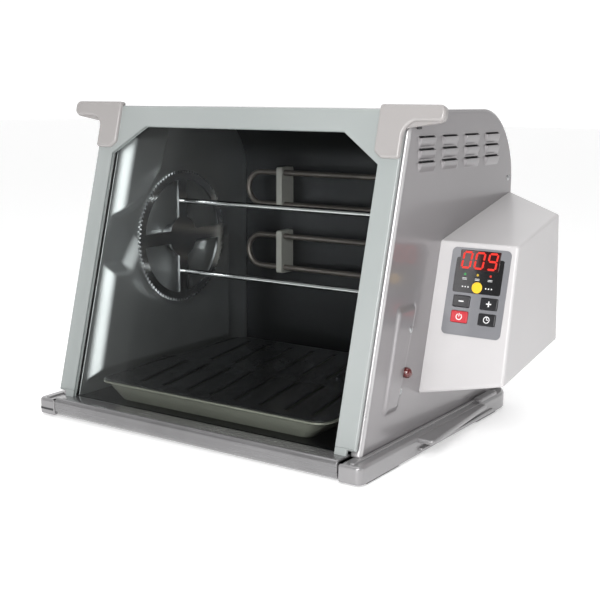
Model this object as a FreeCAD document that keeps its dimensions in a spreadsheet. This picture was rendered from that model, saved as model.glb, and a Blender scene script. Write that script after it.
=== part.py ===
import FreeCAD, Part
import math
import os
import Sketcher

# Rotisserie oven. Inside each sub-part x runs from the middle of the cooking space to the right, y from
# the front face of the door's bottom bar to the back, z up from the table. The Placement of each sub-part
# moves that frame so that the document's origin lies under the middle of the whole oven.

doc = FreeCAD.newDocument("rotisserie_oven")

# Driving dimensions in millimetres, and angles in degrees.
DIMENSIONS = {
    "origin_side": 24.2,
    "origin_depth": 176.5,
    "front_lean": 15.1,
    "sheet": 1.0,
    # base
    "base_half": 208.75,
    "base_inner": 184,
    "base_depth": 350,
    "base_under": 2.5,
    "base_top": 20.2,
    "front_round": 12,
    "rear_round": 40,
    "wing_reach": 226,
    "wing_under": 15,
    # body of sheet metal
    "body_half": 194.5,
    "body_top": 338,
    "body_back": 350.5,
    "roof_bend": 79,
    "panel_foot": 17.7,
    "flange_inner": 173,
    "cavity_half": 172,
    "cavity_gap": 12,
    "boss_face": 160,
    # door
    "door_foot": 9.7,
    "door_half": 192.5,
    "door_slant": 351.5,
    "glass_thick": 4,
    "bar_half": 183,
    "bar_depth": 24,
    "bar_under": 1.5,
    "bar_top": 22.3,
    "hinge_depth": 11,
    "hinge_height": 12.5,
    "hinge_radius": 3,
    "pin_grip": 6,
    "bracket_reach": 234,
    "bracket_top": 355.2,
    "bracket_thick": 4,
    # spit and its drive
    "spit_depth": 183,
    "spit_height": 186,
    "wheel_out": 152,
    "wheel_thick": 3,
    "tooth_size": 1.6,
    "rod_radius": 3.2,
    "rod_offset": 42,
    "hub_radius": 12.95,
    "seat_radius": 13,
    "pinion_angle": -60,
    "shaft_radius": 3,
    # tray
    "tray_half": 150,
    "tray_front": 31,
    "tray_back": 300,
    "tray_floor": 21.4,
    "tray_rim": 41,
    # heaters
    "heater_depth": 318,
    "heater_radius": 3.5,
    # control pod
    "pod_foot": 120.5,
    "pod_reach": 283,
    "pod_wall": 2.5,
    "overlay_thick": 0.8,
    "key_gap": 0.3,
    "key_proud": 1.8,
    "board_depth": 10,
}
WHEEL_TEETH = 96
PINION_TEETH = 12

sheet = doc.addObject("Spreadsheet::Sheet", "Sizes")
for row, (alias, dimension) in enumerate(DIMENSIONS.items(), start=1):
    sheet.set(f"A{row}", alias)
    sheet.set(f"B{row}", str(dimension))
    sheet.setAlias(f"B{row}", alias)
doc.recompute()


class Size:
    """A number together with the spreadsheet expression that gives it."""

    def __init__(self, value, text):
        self.value = float(value)
        self.text = text

    def __add__(self, other):
        return Size(self.value + number(other), f"({self.text} + {expression(other)})")

    def __radd__(self, other):
        return Size(number(other) + self.value, f"({expression(other)} + {self.text})")

    def __sub__(self, other):
        return Size(self.value - number(other), f"({self.text} - {expression(other)})")

    def __rsub__(self, other):
        return Size(number(other) - self.value, f"({expression(other)} - {self.text})")

    def __mul__(self, other):
        return Size(self.value * number(other), f"({self.text} * {expression(other)})")

    def __rmul__(self, other):
        return Size(number(other) * self.value, f"({expression(other)} * {self.text})")

    def __truediv__(self, other):
        return Size(self.value / number(other), f"({self.text} / {expression(other)})")

    def __neg__(self):
        return Size(-self.value, f"(-{self.text})")


def number(item):
    return item.value if isinstance(item, Size) else float(item)


def expression(item):
    return item.text if isinstance(item, Size) else repr(float(item))


def size(alias):
    return Size(DIMENSIONS[alias], f"Sizes.{alias}")


def tangent(angle):
    return Size(math.tan(math.radians(angle.value)), f"tan({angle.text})")


def cosine(angle):
    return Size(math.cos(math.radians(angle.value)), f"cos({angle.text})")


def sine(angle):
    return Size(math.sin(math.radians(angle.value)), f"sin({angle.text})")


def bind(thing, path, item):
    thing.setExpression(path, expression(item))


LEAN = size("front_lean")


def slanted(foot, height):
    """Depth at a height on a face that leans back from a foot on the table."""
    return foot + tangent(LEAN) * height


def place(thing, at=(0, 0, 0), lean=None):
    """Put a sub-part's own frame at a point of the oven, leaning back by an angle if one is given."""
    across, back, up = at[0] - size("origin_side"), at[1] - size("origin_depth"), at[2]
    thing.Placement = FreeCAD.Placement(
        FreeCAD.Vector(number(across), number(back), number(up)),
        FreeCAD.Rotation(FreeCAD.Vector(1, 0, 0), -number(lean or 0)),
    )
    bind(thing, "Placement.Base.x", across)
    bind(thing, "Placement.Base.y", back)
    bind(thing, "Placement.Base.z", up)
    if lean is not None:
        bind(thing, "Placement.Rotation.Angle", -lean)


def new_body(label, at=(0, 0, 0), lean=None):
    body = doc.addObject("PartDesign::Body", label)
    body.Label = label
    body.AllowCompound = True
    place(body, at, lean)
    return body


PLANES = {"side": "YZ_Plane", "front": "XZ_Plane", "top": "XY_Plane"}


def arc_between(start, finish, radius):
    """The shorter arc from start to finish, turning left for a positive radius and right for a negative."""
    chord = finish - start
    across = FreeCAD.Vector(-chord.y, chord.x, 0).normalize()
    reach = math.sqrt(max(radius * radius - chord.Length * chord.Length / 4, 0))
    centre = (start + finish) * 0.5 + across * math.copysign(reach, radius)
    first, last = (start, finish) if radius > 0 else (finish, start)
    circle = Part.Circle(centre, FreeCAD.Vector(0, 0, 1), abs(radius))
    from_angle = math.atan2(first.y - centre.y, first.x - centre.x)
    to_angle = math.atan2(last.y - centre.y, last.x - centre.x)
    return Part.ArcOfCircle(circle, from_angle, to_angle)


def pin(sketch, edge, end, across, up):
    """Fix one end of an edge at its distances from the sketch's origin."""
    for kind, axis, item in (("DistanceX", -2, across), ("DistanceY", -1, up)):
        if number(item) == 0:
            sketch.addConstraint(Sketcher.Constraint("PointOnObject", edge, end, axis))
        else:
            index = sketch.addConstraint(Sketcher.Constraint(kind, -1, 1, edge, end, number(item)))
            bind(sketch, f"Constraints[{index}]", item)


def add_outline(sketch, corners, closed=True):
    """Draw lines from corner to corner; a corner's third number makes the edge that ends there an arc."""
    points = [FreeCAD.Vector(number(corner[0]), number(corner[1]), 0) for corner in corners]
    before = None
    first = None
    for index in range(0 if closed else 1, len(corners)):
        corner = corners[index]
        start_end, finish_end = 1, 2
        if len(corner) == 3:
            edge = sketch.addGeometry(arc_between(points[index - 1], points[index], number(corner[2])))
            if number(corner[2]) < 0:
                start_end, finish_end = 2, 1
            turn = sketch.addConstraint(Sketcher.Constraint("Radius", edge, abs(number(corner[2]))))
            radius = -corner[2] if number(corner[2]) < 0 else corner[2]
            bind(sketch, f"Constraints[{turn}]", radius)
        else:
            edge = sketch.addGeometry(Part.LineSegment(points[index - 1], points[index]))
        if before is not None:
            sketch.addConstraint(Sketcher.Constraint("Coincident", before[0], before[1], edge, start_end))
        elif closed:
            first = (edge, start_end)
        else:
            pin(sketch, edge, start_end, corners[0][0], corners[0][1])
        pin(sketch, edge, finish_end, corner[0], corner[1])
        before = (edge, finish_end)
    if closed:
        sketch.addConstraint(Sketcher.Constraint("Coincident", before[0], before[1], first[0], first[1]))


def add_circle(sketch, across, up, radius):
    centre = FreeCAD.Vector(number(across), number(up), 0)
    edge = sketch.addGeometry(Part.Circle(centre, FreeCAD.Vector(0, 0, 1), number(radius)))
    pin(sketch, edge, 3, across, up)
    index = sketch.addConstraint(Sketcher.Constraint("Radius", edge, number(radius)))
    bind(sketch, f"Constraints[{index}]", radius)


def new_sketch(body, plane, level, outlines=(), circles=(), lean_foot=None, closed=True):
    """A sketch across the body at a level along the plane's axis, or on a face leaning back from a foot."""
    sketch = body.newObject("Sketcher::SketchObject", f"{body.Label}_sketch")
    origin_plane = [item for item in body.Origin.OriginFeatures if item.Role == PLANES[plane]][0]
    sketch.AttachmentSupport = [(origin_plane, "")]
    sketch.MapMode = "FlatFace"
    if lean_foot is not None:
        turn = FreeCAD.Rotation(FreeCAD.Vector(1, 0, 0), -number(LEAN))
        sketch.AttachmentOffset = FreeCAD.Placement(FreeCAD.Vector(), turn)
        bind(sketch, "AttachmentOffset.Rotation.Angle", -LEAN)
        level = lean_foot
    bind(sketch, "AttachmentOffset.Base.z", 0 - level if plane == "front" else level)
    for corners in outlines:
        add_outline(sketch, corners, closed)
    for across, up, radius in circles:
        add_circle(sketch, across, up, radius)
    return sketch


def settle(feature):
    """Recompute, and stop with the feature's own message if it failed."""
    doc.recompute()
    if "Invalid" in feature.State:
        raise RuntimeError(f"{feature.Label}: {feature.getStatusString()}")
    return feature


def pad(body, plane, low, high, outlines=(), circles=()):
    """Add material between two levels along the plane's axis."""
    sketch = new_sketch(body, plane, high if plane == "front" else low, outlines, circles)
    feature = body.newObject("PartDesign::Pad", f"{body.Label}_pad")
    feature.Profile = sketch
    feature.Length = number(high - low)
    bind(feature, "Length", high - low)
    return settle(feature)


def pocket(body, plane, low, high, outlines=(), circles=(), lean_foot=None, along=None):
    """Remove material between two levels along the plane's axis, and check that some went."""
    before = body.Shape.Volume
    sketch = new_sketch(body, plane, low if plane == "front" else high, outlines, circles, lean_foot)
    feature = body.newObject("PartDesign::Pocket", f"{body.Label}_pocket")
    feature.Profile = sketch
    feature.Length = number(high - low)
    bind(feature, "Length", high - low)
    if along is not None:
        feature.UseCustomVector = True
        feature.Direction = along
    settle(feature)
    if not body.Shape.Volume < before:
        raise RuntimeError(f"{body.Label}: a pocket removed nothing")
    return feature


def soften(body, radius, chosen):
    """Round the edges of the body that a test picks."""
    base = body.Tip
    names = [f"Edge{index + 1}" for index, edge in enumerate(base.Shape.Edges) if chosen(edge)]
    feature = body.newObject("PartDesign::Fillet", f"{body.Label}_rounding")
    feature.Base = (base, names)
    feature.Radius = number(radius)
    bind(feature, "Radius", radius)
    return settle(feature)


def box(left, low, right, top):
    return [(right, low), (right, top), (left, top), (left, low)]


def round_box(left, low, right, top, radius):
    """A rectangle with four rounded corners, drawn leftwards round."""
    return [
        (right - radius, low),
        (right, low + radius, radius),
        (right, top - radius),
        (right - radius, top, radius),
        (left + radius, top),
        (left, top - radius, radius),
        (left, low + radius),
        (left + radius, low, radius),
    ]


def mirrored(corners):
    """The same outline on the other side of the upright axis."""
    return [(-1 * corner[0], corner[1], *[-1 * turn for turn in corner[2:]]) for corner in corners]


def shrunk(corners, middle, factor):
    """An outline drawn in towards a middle point."""
    return [
        (
            (corner[0] - middle[0]) * factor + middle[0],
            (corner[1] - middle[1]) * factor + middle[1],
            *[turn * factor for turn in corner[2:]],
        )
        for corner in corners
    ]


SIDES = {"left": -1, "right": 1}
# The clearance between a round part and the hole that holds it.
SLIP = 0.05


def span(side, inner, outer):
    """The low and high x of a stretch given as distances from the middle plane."""
    return (inner, outer) if side > 0 else (-1 * outer, -1 * inner)


# ---------------------------------------------------------------- base


def make_base_frame():
    """A moulded U of two rails and a back beam, with corner blocks that hold the door's pins."""
    half, inner, depth = size("base_half"), size("base_inner"), size("base_depth")
    top, under = size("base_top"), size("base_under")
    front_round, rear_round = size("front_round"), size("rear_round")
    beam = 30
    outline = [
        (half - front_round, 0),
        (half, front_round, front_round),
        (half, depth - rear_round),
        (half - rear_round, depth, rear_round),
        (rear_round - half, depth),
        (-half, depth - rear_round, rear_round),
        (-half, front_round),
        (front_round - half, 0, front_round),
        (-inner, 0),
        (-inner, depth - beam),
        (inner, depth - beam),
        (inner, 0),
    ]
    body = new_body("base_frame")
    pad(body, "top", under, top, [outline])
    upper = number(top) - 0.5
    soften(body, 2, lambda edge: edge.BoundBox.ZMin > upper and on_outer_rim(edge, inner, depth))
    wing_front, wing_back, wing_root = 111, 262, 4
    for side in SIDES.values():
        wing = [
            (half - wing_root, wing_front),
            (size("wing_reach"), wing_front),
            (half + 5, wing_back),
            (half - wing_root, wing_back),
        ]
        pad(body, "top", size("wing_under"), top - 0.6, [wing if side > 0 else mirrored(wing)])
        block = box(size("body_half") + 1, 262, half - 2.6, 305)
        pad(body, "top", top - 1, top + 3.5, [block if side > 0 else mirrored(block)])
        low, high = span(side, inner - 1, inner + 11)
        bore = (size("hinge_depth"), size("hinge_height"), size("hinge_radius") + 2 * SLIP)
        pocket(body, "side", low, high, circles=[bore])
    slot_low, slot_high = 7.5, 10.5
    pocket(body, "front", -1, 7, [box(-half + 12, slot_low, -inner + 1, slot_high)])


def on_outer_rim(edge, inner, depth):
    """True for an edge on the base's outer rim rather than inside the U."""
    extent = edge.BoundBox
    widest = max(abs(extent.XMin), abs(extent.XMax))
    return widest > number(inner) + 0.5 or extent.YMin > number(depth) - 1


def make_floor_pan():
    """The sheet floor of the cooking space, with a lip turned down behind the door's bar."""
    body = new_body("floor_pan")
    half = size("body_half") - size("sheet") - 0.3
    top = size("base_top") + size("sheet")
    front = 28
    pad(body, "top", size("base_top"), top, [box(-half, front, half, size("body_back") - 1.4)])
    lip_half = size("base_inner") - 0.6
    pad(body, "top", 9, top, [box(-lip_half, front, lip_half, front + size("sheet"))])


def make_foot_pads():
    """Four rubber pads under the rails."""
    body = new_body("foot_pads")
    pads = []
    for side in SIDES.values():
        for front, back in ((14, 80), (251, 306)):
            left, right = span(side, size("base_inner") + 3, size("base_half") - 3)
            pads.append(round_box(left, front, right, back, 4))
    pad(body, "top", 0, size("base_under"), pads)


# ---------------------------------------------------------------- sheet-metal body


def panel_edge(height):
    """Depth of the body's front edge, parallel to the door."""
    return slanted(size("panel_foot"), height)


LOUVRE_COLUMNS = ((121.5, 156.7), (171.3, 206.7), (222, 257.4), (272.8, 308.2))
LOUVRE_TOPS = (313.5, 301.5, 289.5)
LOUVRE_HEIGHT = 9
LOUVRE_SLIT = 2.4
LAMP_PLACE = (104.8, 86)
PANEL_SCREWS = ((111.9, 127.7), (95.5, 69.1))
REAR_SCREWS = ((338, 40), (338, 262))


def make_side_panel(name, side):
    """An outer side sheet with a front flange facing the door, louvres and a slanted raised field."""
    body = new_body(f"side_panel_{name}")
    half, gauge = size("body_half"), size("sheet")
    top, back, bend, low = size("body_top"), size("body_back"), size("roof_bend"), size("base_top")
    outline = [
        (panel_edge(low), low),
        (back, low),
        (back, top - bend),
        (back - bend, top, bend),
        (panel_edge(top), top),
    ]
    inner_face, outer_face = span(side, half - gauge, half)
    pad(body, "side", inner_face, outer_face, [outline])
    flange_low = 24.5
    flange = [
        (panel_edge(flange_low), flange_low),
        (panel_edge(flange_low) + gauge, flange_low),
        (panel_edge(top - gauge) + gauge, top - gauge),
        (panel_edge(top - gauge), top - gauge),
    ]
    flange_left, flange_right = span(side, size("flange_inner"), half - gauge / 2)
    pad(body, "side", flange_left, flange_right, [flange])
    slits = []
    scoops = []
    for front, rear in LOUVRE_COLUMNS:
        for upper in LOUVRE_TOPS:
            slits.append(box(front + 1, upper - LOUVRE_SLIT, rear - 1, upper))
            scoops.append(box(front, upper - LOUVRE_HEIGHT, rear, upper - LOUVRE_SLIT))
    scoop_left, scoop_right = span(side, half - gauge / 2, half + 1.5)
    pad(body, "side", scoop_left, scoop_right, scoops)
    slit_left, slit_right = span(side, half - gauge - 1, half + 1)
    pocket(body, "side", slit_left, slit_right, slits)
    if side > 0:
        field_low, field_high = 52, 151
        field = [
            (panel_edge(field_low) + 30, field_low),
            (panel_edge(field_low) + 62, field_low),
            (panel_edge(field_high) + 67, field_high),
            (panel_edge(field_high) + 26, field_high),
        ]
        pad(body, "side", half - gauge / 2, half + 1, [field])
        pocket(body, "side", half - 3, half + 3, circles=[(*LAMP_PLACE, 4.4), (250, 150, 8)])


GLAND_PLACE = (140, 60)
GLAND_RADIUS = 7


def make_roof_and_back():
    """One bent sheet that is the roof and the back, with a front flange parallel to the door."""
    body = new_body("roof_and_back")
    gauge, top, back, bend = size("sheet"), size("body_top"), size("body_back"), size("roof_bend")
    reach = size("body_half") - gauge - 0.1
    flange_low = top - 14
    outline = [
        (panel_edge(top), top),
        (panel_edge(flange_low), flange_low),
        (panel_edge(flange_low) + gauge, flange_low),
        (panel_edge(top - gauge) + gauge, top - gauge),
        (back - bend, top - gauge),
        (back - gauge, top - bend, gauge - bend),
        (back - gauge, size("base_top")),
        (back, size("base_top")),
        (back, top - bend),
        (back - bend, top, bend),
    ]
    pad(body, "side", -reach, reach, [outline])
    # The roof sheet stops short of the side flanges and leaves a hole for the cord gland.
    notch = box(panel_edge(flange_low) - 8, flange_low - 1, panel_edge(top) + 2, top - gauge)
    for side in SIDES.values():
        pocket(body, "side", *span(side, size("flange_inner") - 0.3, reach + 1), [notch])
    pocket(body, "front", back - 3, back + 3, circles=[(*GLAND_PLACE, GLAND_RADIUS + SLIP)])


def make_cord_gland():
    """A flanged bush in the back, where the mains lead goes in."""
    body = new_body("cord_gland")
    back = size("body_back")
    bore = (*GLAND_PLACE, 4)
    pad(body, "front", back, back + 2.5, circles=[(*GLAND_PLACE, GLAND_RADIUS + 3), bore])
    pad(body, "front", back - 6, back, circles=[(*GLAND_PLACE, GLAND_RADIUS), bore])


def make_reflector():
    """The bright sheet over and behind the spit, bent to follow the roof."""
    body = new_body("heat_reflector")
    gap, gauge, bend = size("cavity_gap"), size("sheet"), size("roof_bend")
    top, back = size("body_top") - gap, size("body_back") - gap
    low = size("base_top") + size("sheet")
    front = panel_edge(top) + 3
    outline = [
        (front, top),
        (front, top - gauge),
        (back - bend + gap, top - gauge),
        (back - gauge, top - bend + gap, gauge - bend + gap),
        (back - gauge, low),
        (back, low),
        (back, top - bend + gap),
        (back - bend + gap, top, bend - gap),
    ]
    reach = size("cavity_half") - gauge
    pad(body, "side", -reach, reach, [outline])


def make_liner(name, side):
    """An inner side sheet with two raised panels; between them a channel leads back to the hub's seat."""
    body = new_body(f"liner_{name}")
    gap, gauge, bend = size("cavity_gap"), size("sheet"), size("roof_bend")
    top, back, low = size("body_top") - gap, size("body_back") - gap, size("base_top") + size("sheet")
    hub_depth, hub_height = size("spit_depth"), size("spit_height")
    seat = size("seat_radius") + 3
    upper = [
        (panel_edge(217) + 7, 217),
        (99, 215),
        (136, 227),
        (167, 260),
        (186, 314),
        (panel_edge(314) + 8, 314),
    ]
    lower = [
        (panel_edge(36) + 12, 36),
        (296, 36),
        (296, hub_height),
        (hub_depth + seat, hub_height),
        (hub_depth, hub_height - seat, -seat),
        (hub_depth - seat, hub_height, -seat),
        (122, hub_height + 6),
        (99, 161),
        (panel_edge(163) + 9, 163),
    ]
    face, plate = size("boss_face"), size("cavity_half") - gauge
    pad(body, "side", *span(side, face, plate), [upper, lower])
    hollow = [shrunk(upper, (128, 262), 0.95)]
    hollow.append(box(66, 42, 290, 148))
    pocket(body, "side", *span(side, face + gauge, plate + 1), hollow)
    outline = [
        (panel_edge(low) + 3, low),
        (back, low),
        (back, top - bend + gap),
        (back - bend + gap, top, bend - gap),
        (panel_edge(top) + 3, top),
    ]
    pad(body, "side", *span(side, plate, plate + gauge), [outline])
    if side > 0:
        shaft_depth, shaft_height = pinion_place()
        bush_hole = (shaft_depth, shaft_height, BUSH_RADIUS)
        pocket(body, "side", face - 1, plate + gauge + 1, circles=[bush_hole])


def make_flange_screws():
    """Screws in the front flanges, facing the door."""
    body = new_body("flange_screws", (0, size("panel_foot"), 0), LEAN)
    places = []
    for side in SIDES.values():
        for slope in (70, 184, 219.5, 300):
            places.append((side * 178, slope, 2.6))
    pad(body, "front", -1.2, 0, circles=places)


def make_panel_screws():
    """Screw heads on the outer side panels."""
    body = new_body("panel_screws")
    half = size("body_half")
    pad(body, "side", half + 1, half + 2.4, circles=[(*place_on, 3.2) for place_on in PANEL_SCREWS])
    rear = [(*place_on, 3.2) for place_on in REAR_SCREWS]
    for side in SIDES.values():
        pad(body, "side", *span(side, half, half + 1.4), circles=rear)


def make_door_catches():
    """Small sprung catches near the top front corners of the side panels."""
    body = new_body("door_catches")
    half = size("body_half")
    for side in SIDES.values():
        pad(body, "side", *span(side, half, half + 1.5), [round_box(118, 320, 125.5, 327.5, 1)])


def make_lamp():
    """The round indicator lamp: a domed lens in front and its holder behind the panel."""
    at = (size("body_half") + 1, *LAMP_PLACE)
    lens = new_body("indicator_lens", at)
    profile = [(0, 0), (7.5, 0), (1.5, 4.9, 6.1), (1.5, 6), (0, 6)]
    revolve(lens, profile)
    holder = new_body("lamp_holder", at)
    pad(holder, "side", -12, 0, circles=[(0, 0, 4.3)])


def revolve(body, profile):
    """Turn a profile of (along x, distance from the axis) about the body's own x axis."""
    sketch = new_sketch(body, "front", 0, [profile])
    feature = body.newObject("PartDesign::Revolution", f"{body.Label}_turning")
    feature.Profile = sketch
    feature.ReferenceAxis = (sketch, ["H_Axis"])
    feature.Angle = 360
    settle(feature)


# ---------------------------------------------------------------- heaters


HEATERS = {"upper_heater": (216, 256), "lower_heater": (136, 176)}
SUPPORT_SIDES = (-104, 96)


def make_heater(name, low, high):
    """A hairpin tube across the back, both its ends going into the right liner."""
    body = new_body(name)
    bend = (high - low) / 2
    end = size("cavity_half") - size("sheet")
    turn_side = -132
    hairpin = [
        (end, high),
        (turn_side, high),
        (turn_side - bend, low + bend, bend),
        (turn_side, low, bend),
        (end, low),
    ]
    path = new_sketch(body, "front", size("heater_depth"), [hairpin], closed=False)
    section = new_sketch(body, "side", end, circles=[(size("heater_depth"), high, size("heater_radius"))])
    pipe = body.newObject("PartDesign::AdditivePipe", f"{name}_tube")
    pipe.Profile = section
    pipe.Spine = path
    settle(pipe)


def make_heater_supports():
    """Ceramic posts that carry the hairpin tubes in front of the reflector."""
    body = new_body("heater_supports")
    depth, radius = size("heater_depth"), size("heater_radius")
    back = size("body_back") - size("cavity_gap") - size("sheet") - 0.4
    for left in SUPPORT_SIDES:
        for low, high in HEATERS.values():
            pad(body, "side", left, left + 8, [round_box(depth - 7, low - 7, back, high + 7, 3)])
            holes = [(depth, low, radius + SLIP), (depth, high, radius + SLIP)]
            pocket(body, "side", left - 1, left + 9, circles=holes)


# ---------------------------------------------------------------- tray


def make_drip_tray():
    """A shallow pan with flared sides and a narrow flat rim."""
    body = new_body("drip_tray")
    half, front, back = size("tray_half"), size("tray_front"), size("tray_back")
    low, rim, wall = size("tray_floor"), size("tray_rim"), 1.2
    outer_floor = round_box(-half + 24, front + 7, half - 24, back - 14, 12)
    outer_rim = round_box(-half + 4, front + 3, half - 4, back - 3, 16)
    inner_floor = round_box(-half + 25.4, front + 8.4, half - 25.4, back - 15.4, 11)
    inner_rim = round_box(-half + 5.2, front + 4.2, half - 5.2, back - 4.2, 15)
    loft(body, "Additive", low, outer_floor, rim, outer_rim)
    loft(body, "Subtractive", low + wall, inner_floor, rim, inner_rim)
    flange = round_box(-half, front, half, back, 18)
    pad(body, "top", rim, rim + wall, [flange, inner_rim])


def loft(body, kind, low, bottom, high, upper):
    """Join a bottom and an upper outline, adding or removing the body between them."""
    before = body.Shape.Volume if body.Tip else 0
    lower_sketch = new_sketch(body, "top", low, [bottom])
    upper_sketch = new_sketch(body, "top", high, [upper])
    feature = body.newObject(f"PartDesign::{kind}Loft", f"{body.Label}_{kind.lower()}_loft")
    feature.Profile = lower_sketch
    feature.Sections = [upper_sketch]
    settle(feature)
    if kind == "Subtractive" and not body.Shape.Volume < before:
        raise RuntimeError(f"{body.Label}: a loft removed nothing")


GRATE_SLOT_ROWS = ((52, 152), (176, 276))
GRATE_SLOTS = 8


def make_tray_grate():
    """A flat plate on the tray's rim with two rows of slanting slots."""
    body = new_body("tray_grate")
    half, front, back = size("tray_half"), size("tray_front"), size("tray_back")
    low = size("tray_rim") + 1.2
    pad(body, "top", low, low + 1.5, [round_box(-half + 2, front + 2, half - 2, back - 2, 16)])
    pitch, width, slant = 32, 3.2, -0.21
    slots = []
    for row_front, row_back in GRATE_SLOT_ROWS:
        for index in range(GRATE_SLOTS):
            foot = (index - (GRATE_SLOTS - 1) / 2) * pitch + 10
            head = foot + slant * (row_back - row_front)
            near = [(foot, row_front), (foot + width, row_front)]
            far = [(head + width, row_back), (head, row_back)]
            slots.append(near + far)
    pocket(body, "top", low - 1, low + 3, slots)


# ---------------------------------------------------------------- spit and drive


BUSH_RADIUS = 5


def pinion_place():
    """Depth and height of the drive gear's axis, a gear's centre distance away from the spit's."""
    distance = size("tooth_size") * ((WHEEL_TEETH + PINION_TEETH) / 2)
    angle = size("pinion_angle")
    return size("spit_depth") + distance * cosine(angle), size("spit_height") + distance * sine(angle)


def gear_outline(teeth, module, first_angle):
    """A closed wire of stub teeth whose flanks are straight between the root and the tip."""
    pitch_radius = teeth * module / 2
    outer, root = pitch_radius + 0.75 * module, pitch_radius - 1.05 * module
    step = 2 * math.pi / teeth
    points = []
    for index in range(teeth):
        middle = first_angle + index * step
        for radius, share in ((root, -0.36), (outer, -0.11), (outer, 0.11), (root, 0.36)):
            angle = middle + share * step
            points.append(FreeCAD.Vector(0, radius * math.cos(angle), radius * math.sin(angle)))
    return Part.makePolygon(points + points[:1])


def shaped(label, shape, at):
    """A sub-part whose shape is made directly, because it is a ring of many teeth."""
    feature = doc.addObject("Part::Feature", label)
    feature.Label = label
    feature.Shape = shape
    place(feature, at)


def spit_axis():
    return (0, size("spit_depth"), size("spit_height"))


def make_spit_wheel(name, side):
    """A toothed ring with four spokes round a hub plate; two of the spokes carry the rods."""
    module, thick = number(size("tooth_size")), number(size("wheel_thick"))
    left = span(side, size("wheel_out") - size("wheel_thick"), size("wheel_out"))[0]
    along = FreeCAD.Vector(1, 0, 0)
    start = FreeCAD.Vector(number(left), 0, 0)
    step = 2 * math.pi / WHEEL_TEETH
    toward_pinion = math.radians(number(size("pinion_angle")))
    outline = gear_outline(WHEEL_TEETH, module, toward_pinion + step / 2)
    outline.translate(start)
    wheel = Part.Face(outline).extrude(along * thick)
    rim_inner, plate_radius, spoke = 67, 24, 15
    window = Part.makeCylinder(rim_inner, thick, start, along)
    window = window.cut(Part.makeCylinder(plate_radius, thick, start, along))
    long_reach, half_width = rim_inner + 2, spoke / 2
    upright_corner = start - FreeCAD.Vector(0, half_width, long_reach)
    level_corner = start - FreeCAD.Vector(0, long_reach, half_width)
    upright = Part.makeBox(thick, spoke, 2 * long_reach, upright_corner)
    level = Part.makeBox(thick, 2 * long_reach, spoke, level_corner)
    wheel = wheel.cut(window.cut(upright.fuse(level)))
    rod, offset = number(size("rod_radius")) + SLIP, number(size("rod_offset"))
    for height in (-offset, offset):
        wheel = wheel.cut(Part.makeCylinder(rod, thick, start + FreeCAD.Vector(0, 0, height), along))
    shaped(f"spit_wheel_{name}", wheel, spit_axis())


def make_spit_rods():
    """Two straight rods across the cavity, one each side of the axis."""
    body = new_body("spit_rods", spit_axis())
    reach, radius, offset = size("wheel_out") + 4, size("rod_radius"), size("rod_offset")
    pad(body, "side", -reach, reach, circles=[(0, offset, radius), (0, -offset, radius)])


def make_hub(name, side):
    """A flange on the wheel and a round journal that runs in the liner's seat."""
    body = new_body(f"spit_hub_{name}", spit_axis())
    out = size("wheel_out")
    pad(body, "side", *span(side, out, out + 2), circles=[(0, 0, 20)])
    journal_end = size("cavity_half") - size("sheet") - 0.6
    pad(body, "side", *span(side, out + 2, journal_end), circles=[(0, 0, size("hub_radius"))])


def make_hub_seat(name, side):
    """A half ring lining the seat that the hub turns in."""
    body = new_body(f"hub_seat_{name}", spit_axis())
    inner = size("seat_radius")
    outer = inner + 3
    outline = [
        (inner, 0),
        (0, -inner, -inner),
        (-inner, 0, -inner),
        (-outer, 0),
        (0, -outer, outer),
        (outer, 0, outer),
    ]
    seat_in, seat_out = size("boss_face"), size("cavity_half") - size("sheet")
    pad(body, "side", *span(side, seat_in, seat_out), [outline])


def make_drive():
    """The drive gear, its shaft and bush, and the gear motor on its bracket outside the right liner."""
    shaft_at = (0, *pinion_place())
    module = number(size("tooth_size"))
    toward_wheel = math.radians(number(size("pinion_angle")) + 180)
    outline = gear_outline(PINION_TEETH, module, toward_wheel)
    out, width = number(size("wheel_out")), 5
    outline.translate(FreeCAD.Vector(out - 4, 0, 0))
    gear = Part.Face(outline).extrude(FreeCAD.Vector(width, 0, 0))
    shaft_radius = size("shaft_radius")
    bore_radius = number(shaft_radius) + SLIP
    bore = Part.makeCylinder(bore_radius, width, FreeCAD.Vector(out - 4, 0, 0), FreeCAD.Vector(1, 0, 0))
    shaped("drive_gear", gear.cut(bore), shaft_at)
    liner_out = size("cavity_half")
    shaft = new_body("drive_shaft", shaft_at)
    pad(shaft, "side", size("wheel_out") - 5, liner_out + 8, circles=[(0, 0, shaft_radius)])
    bush = new_body("shaft_bush", shaft_at)
    bush_circles = [(0, 0, BUSH_RADIUS), (0, 0, shaft_radius + SLIP)]
    pad(bush, "side", size("boss_face") - 0.6, liner_out, circles=bush_circles)
    bracket = new_body("motor_bracket", shaft_at)
    pad(bracket, "side", liner_out, liner_out + 1.2, [round_box(-38, -30, 38, 30, 5)], [(0, 0, 7)])
    motor = new_body("gear_motor", shaft_at)
    front = liner_out + 1.2
    pad(motor, "side", front, front + 17, circles=[(0, 0, 26)])
    pocket(motor, "side", front - 1, front + 8, circles=[(0, 0, shaft_radius + SLIP)])
    screws = new_body("motor_screws", shaft_at)
    heads = [(across, up, 2.8) for across in (-32, 32) for up in (-22, 22)]
    pad(screws, "side", front, front + 3, circles=heads)


def make_thermal_cutout():
    """A disc thermostat on the outside of the left liner, with its two tabs."""
    body = new_body("thermal_cutout")
    liner_out = size("cavity_half")
    pad(body, "side", -liner_out - 8, -liner_out, circles=[(290, 250, 8)])
    pad(body, "side", -liner_out - 14, -liner_out - 8, [box(284, 247, 286, 253), box(294, 247, 296, 253)])


# ---------------------------------------------------------------- door


def door_frame():
    return (0, size("door_foot"), 0)


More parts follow.
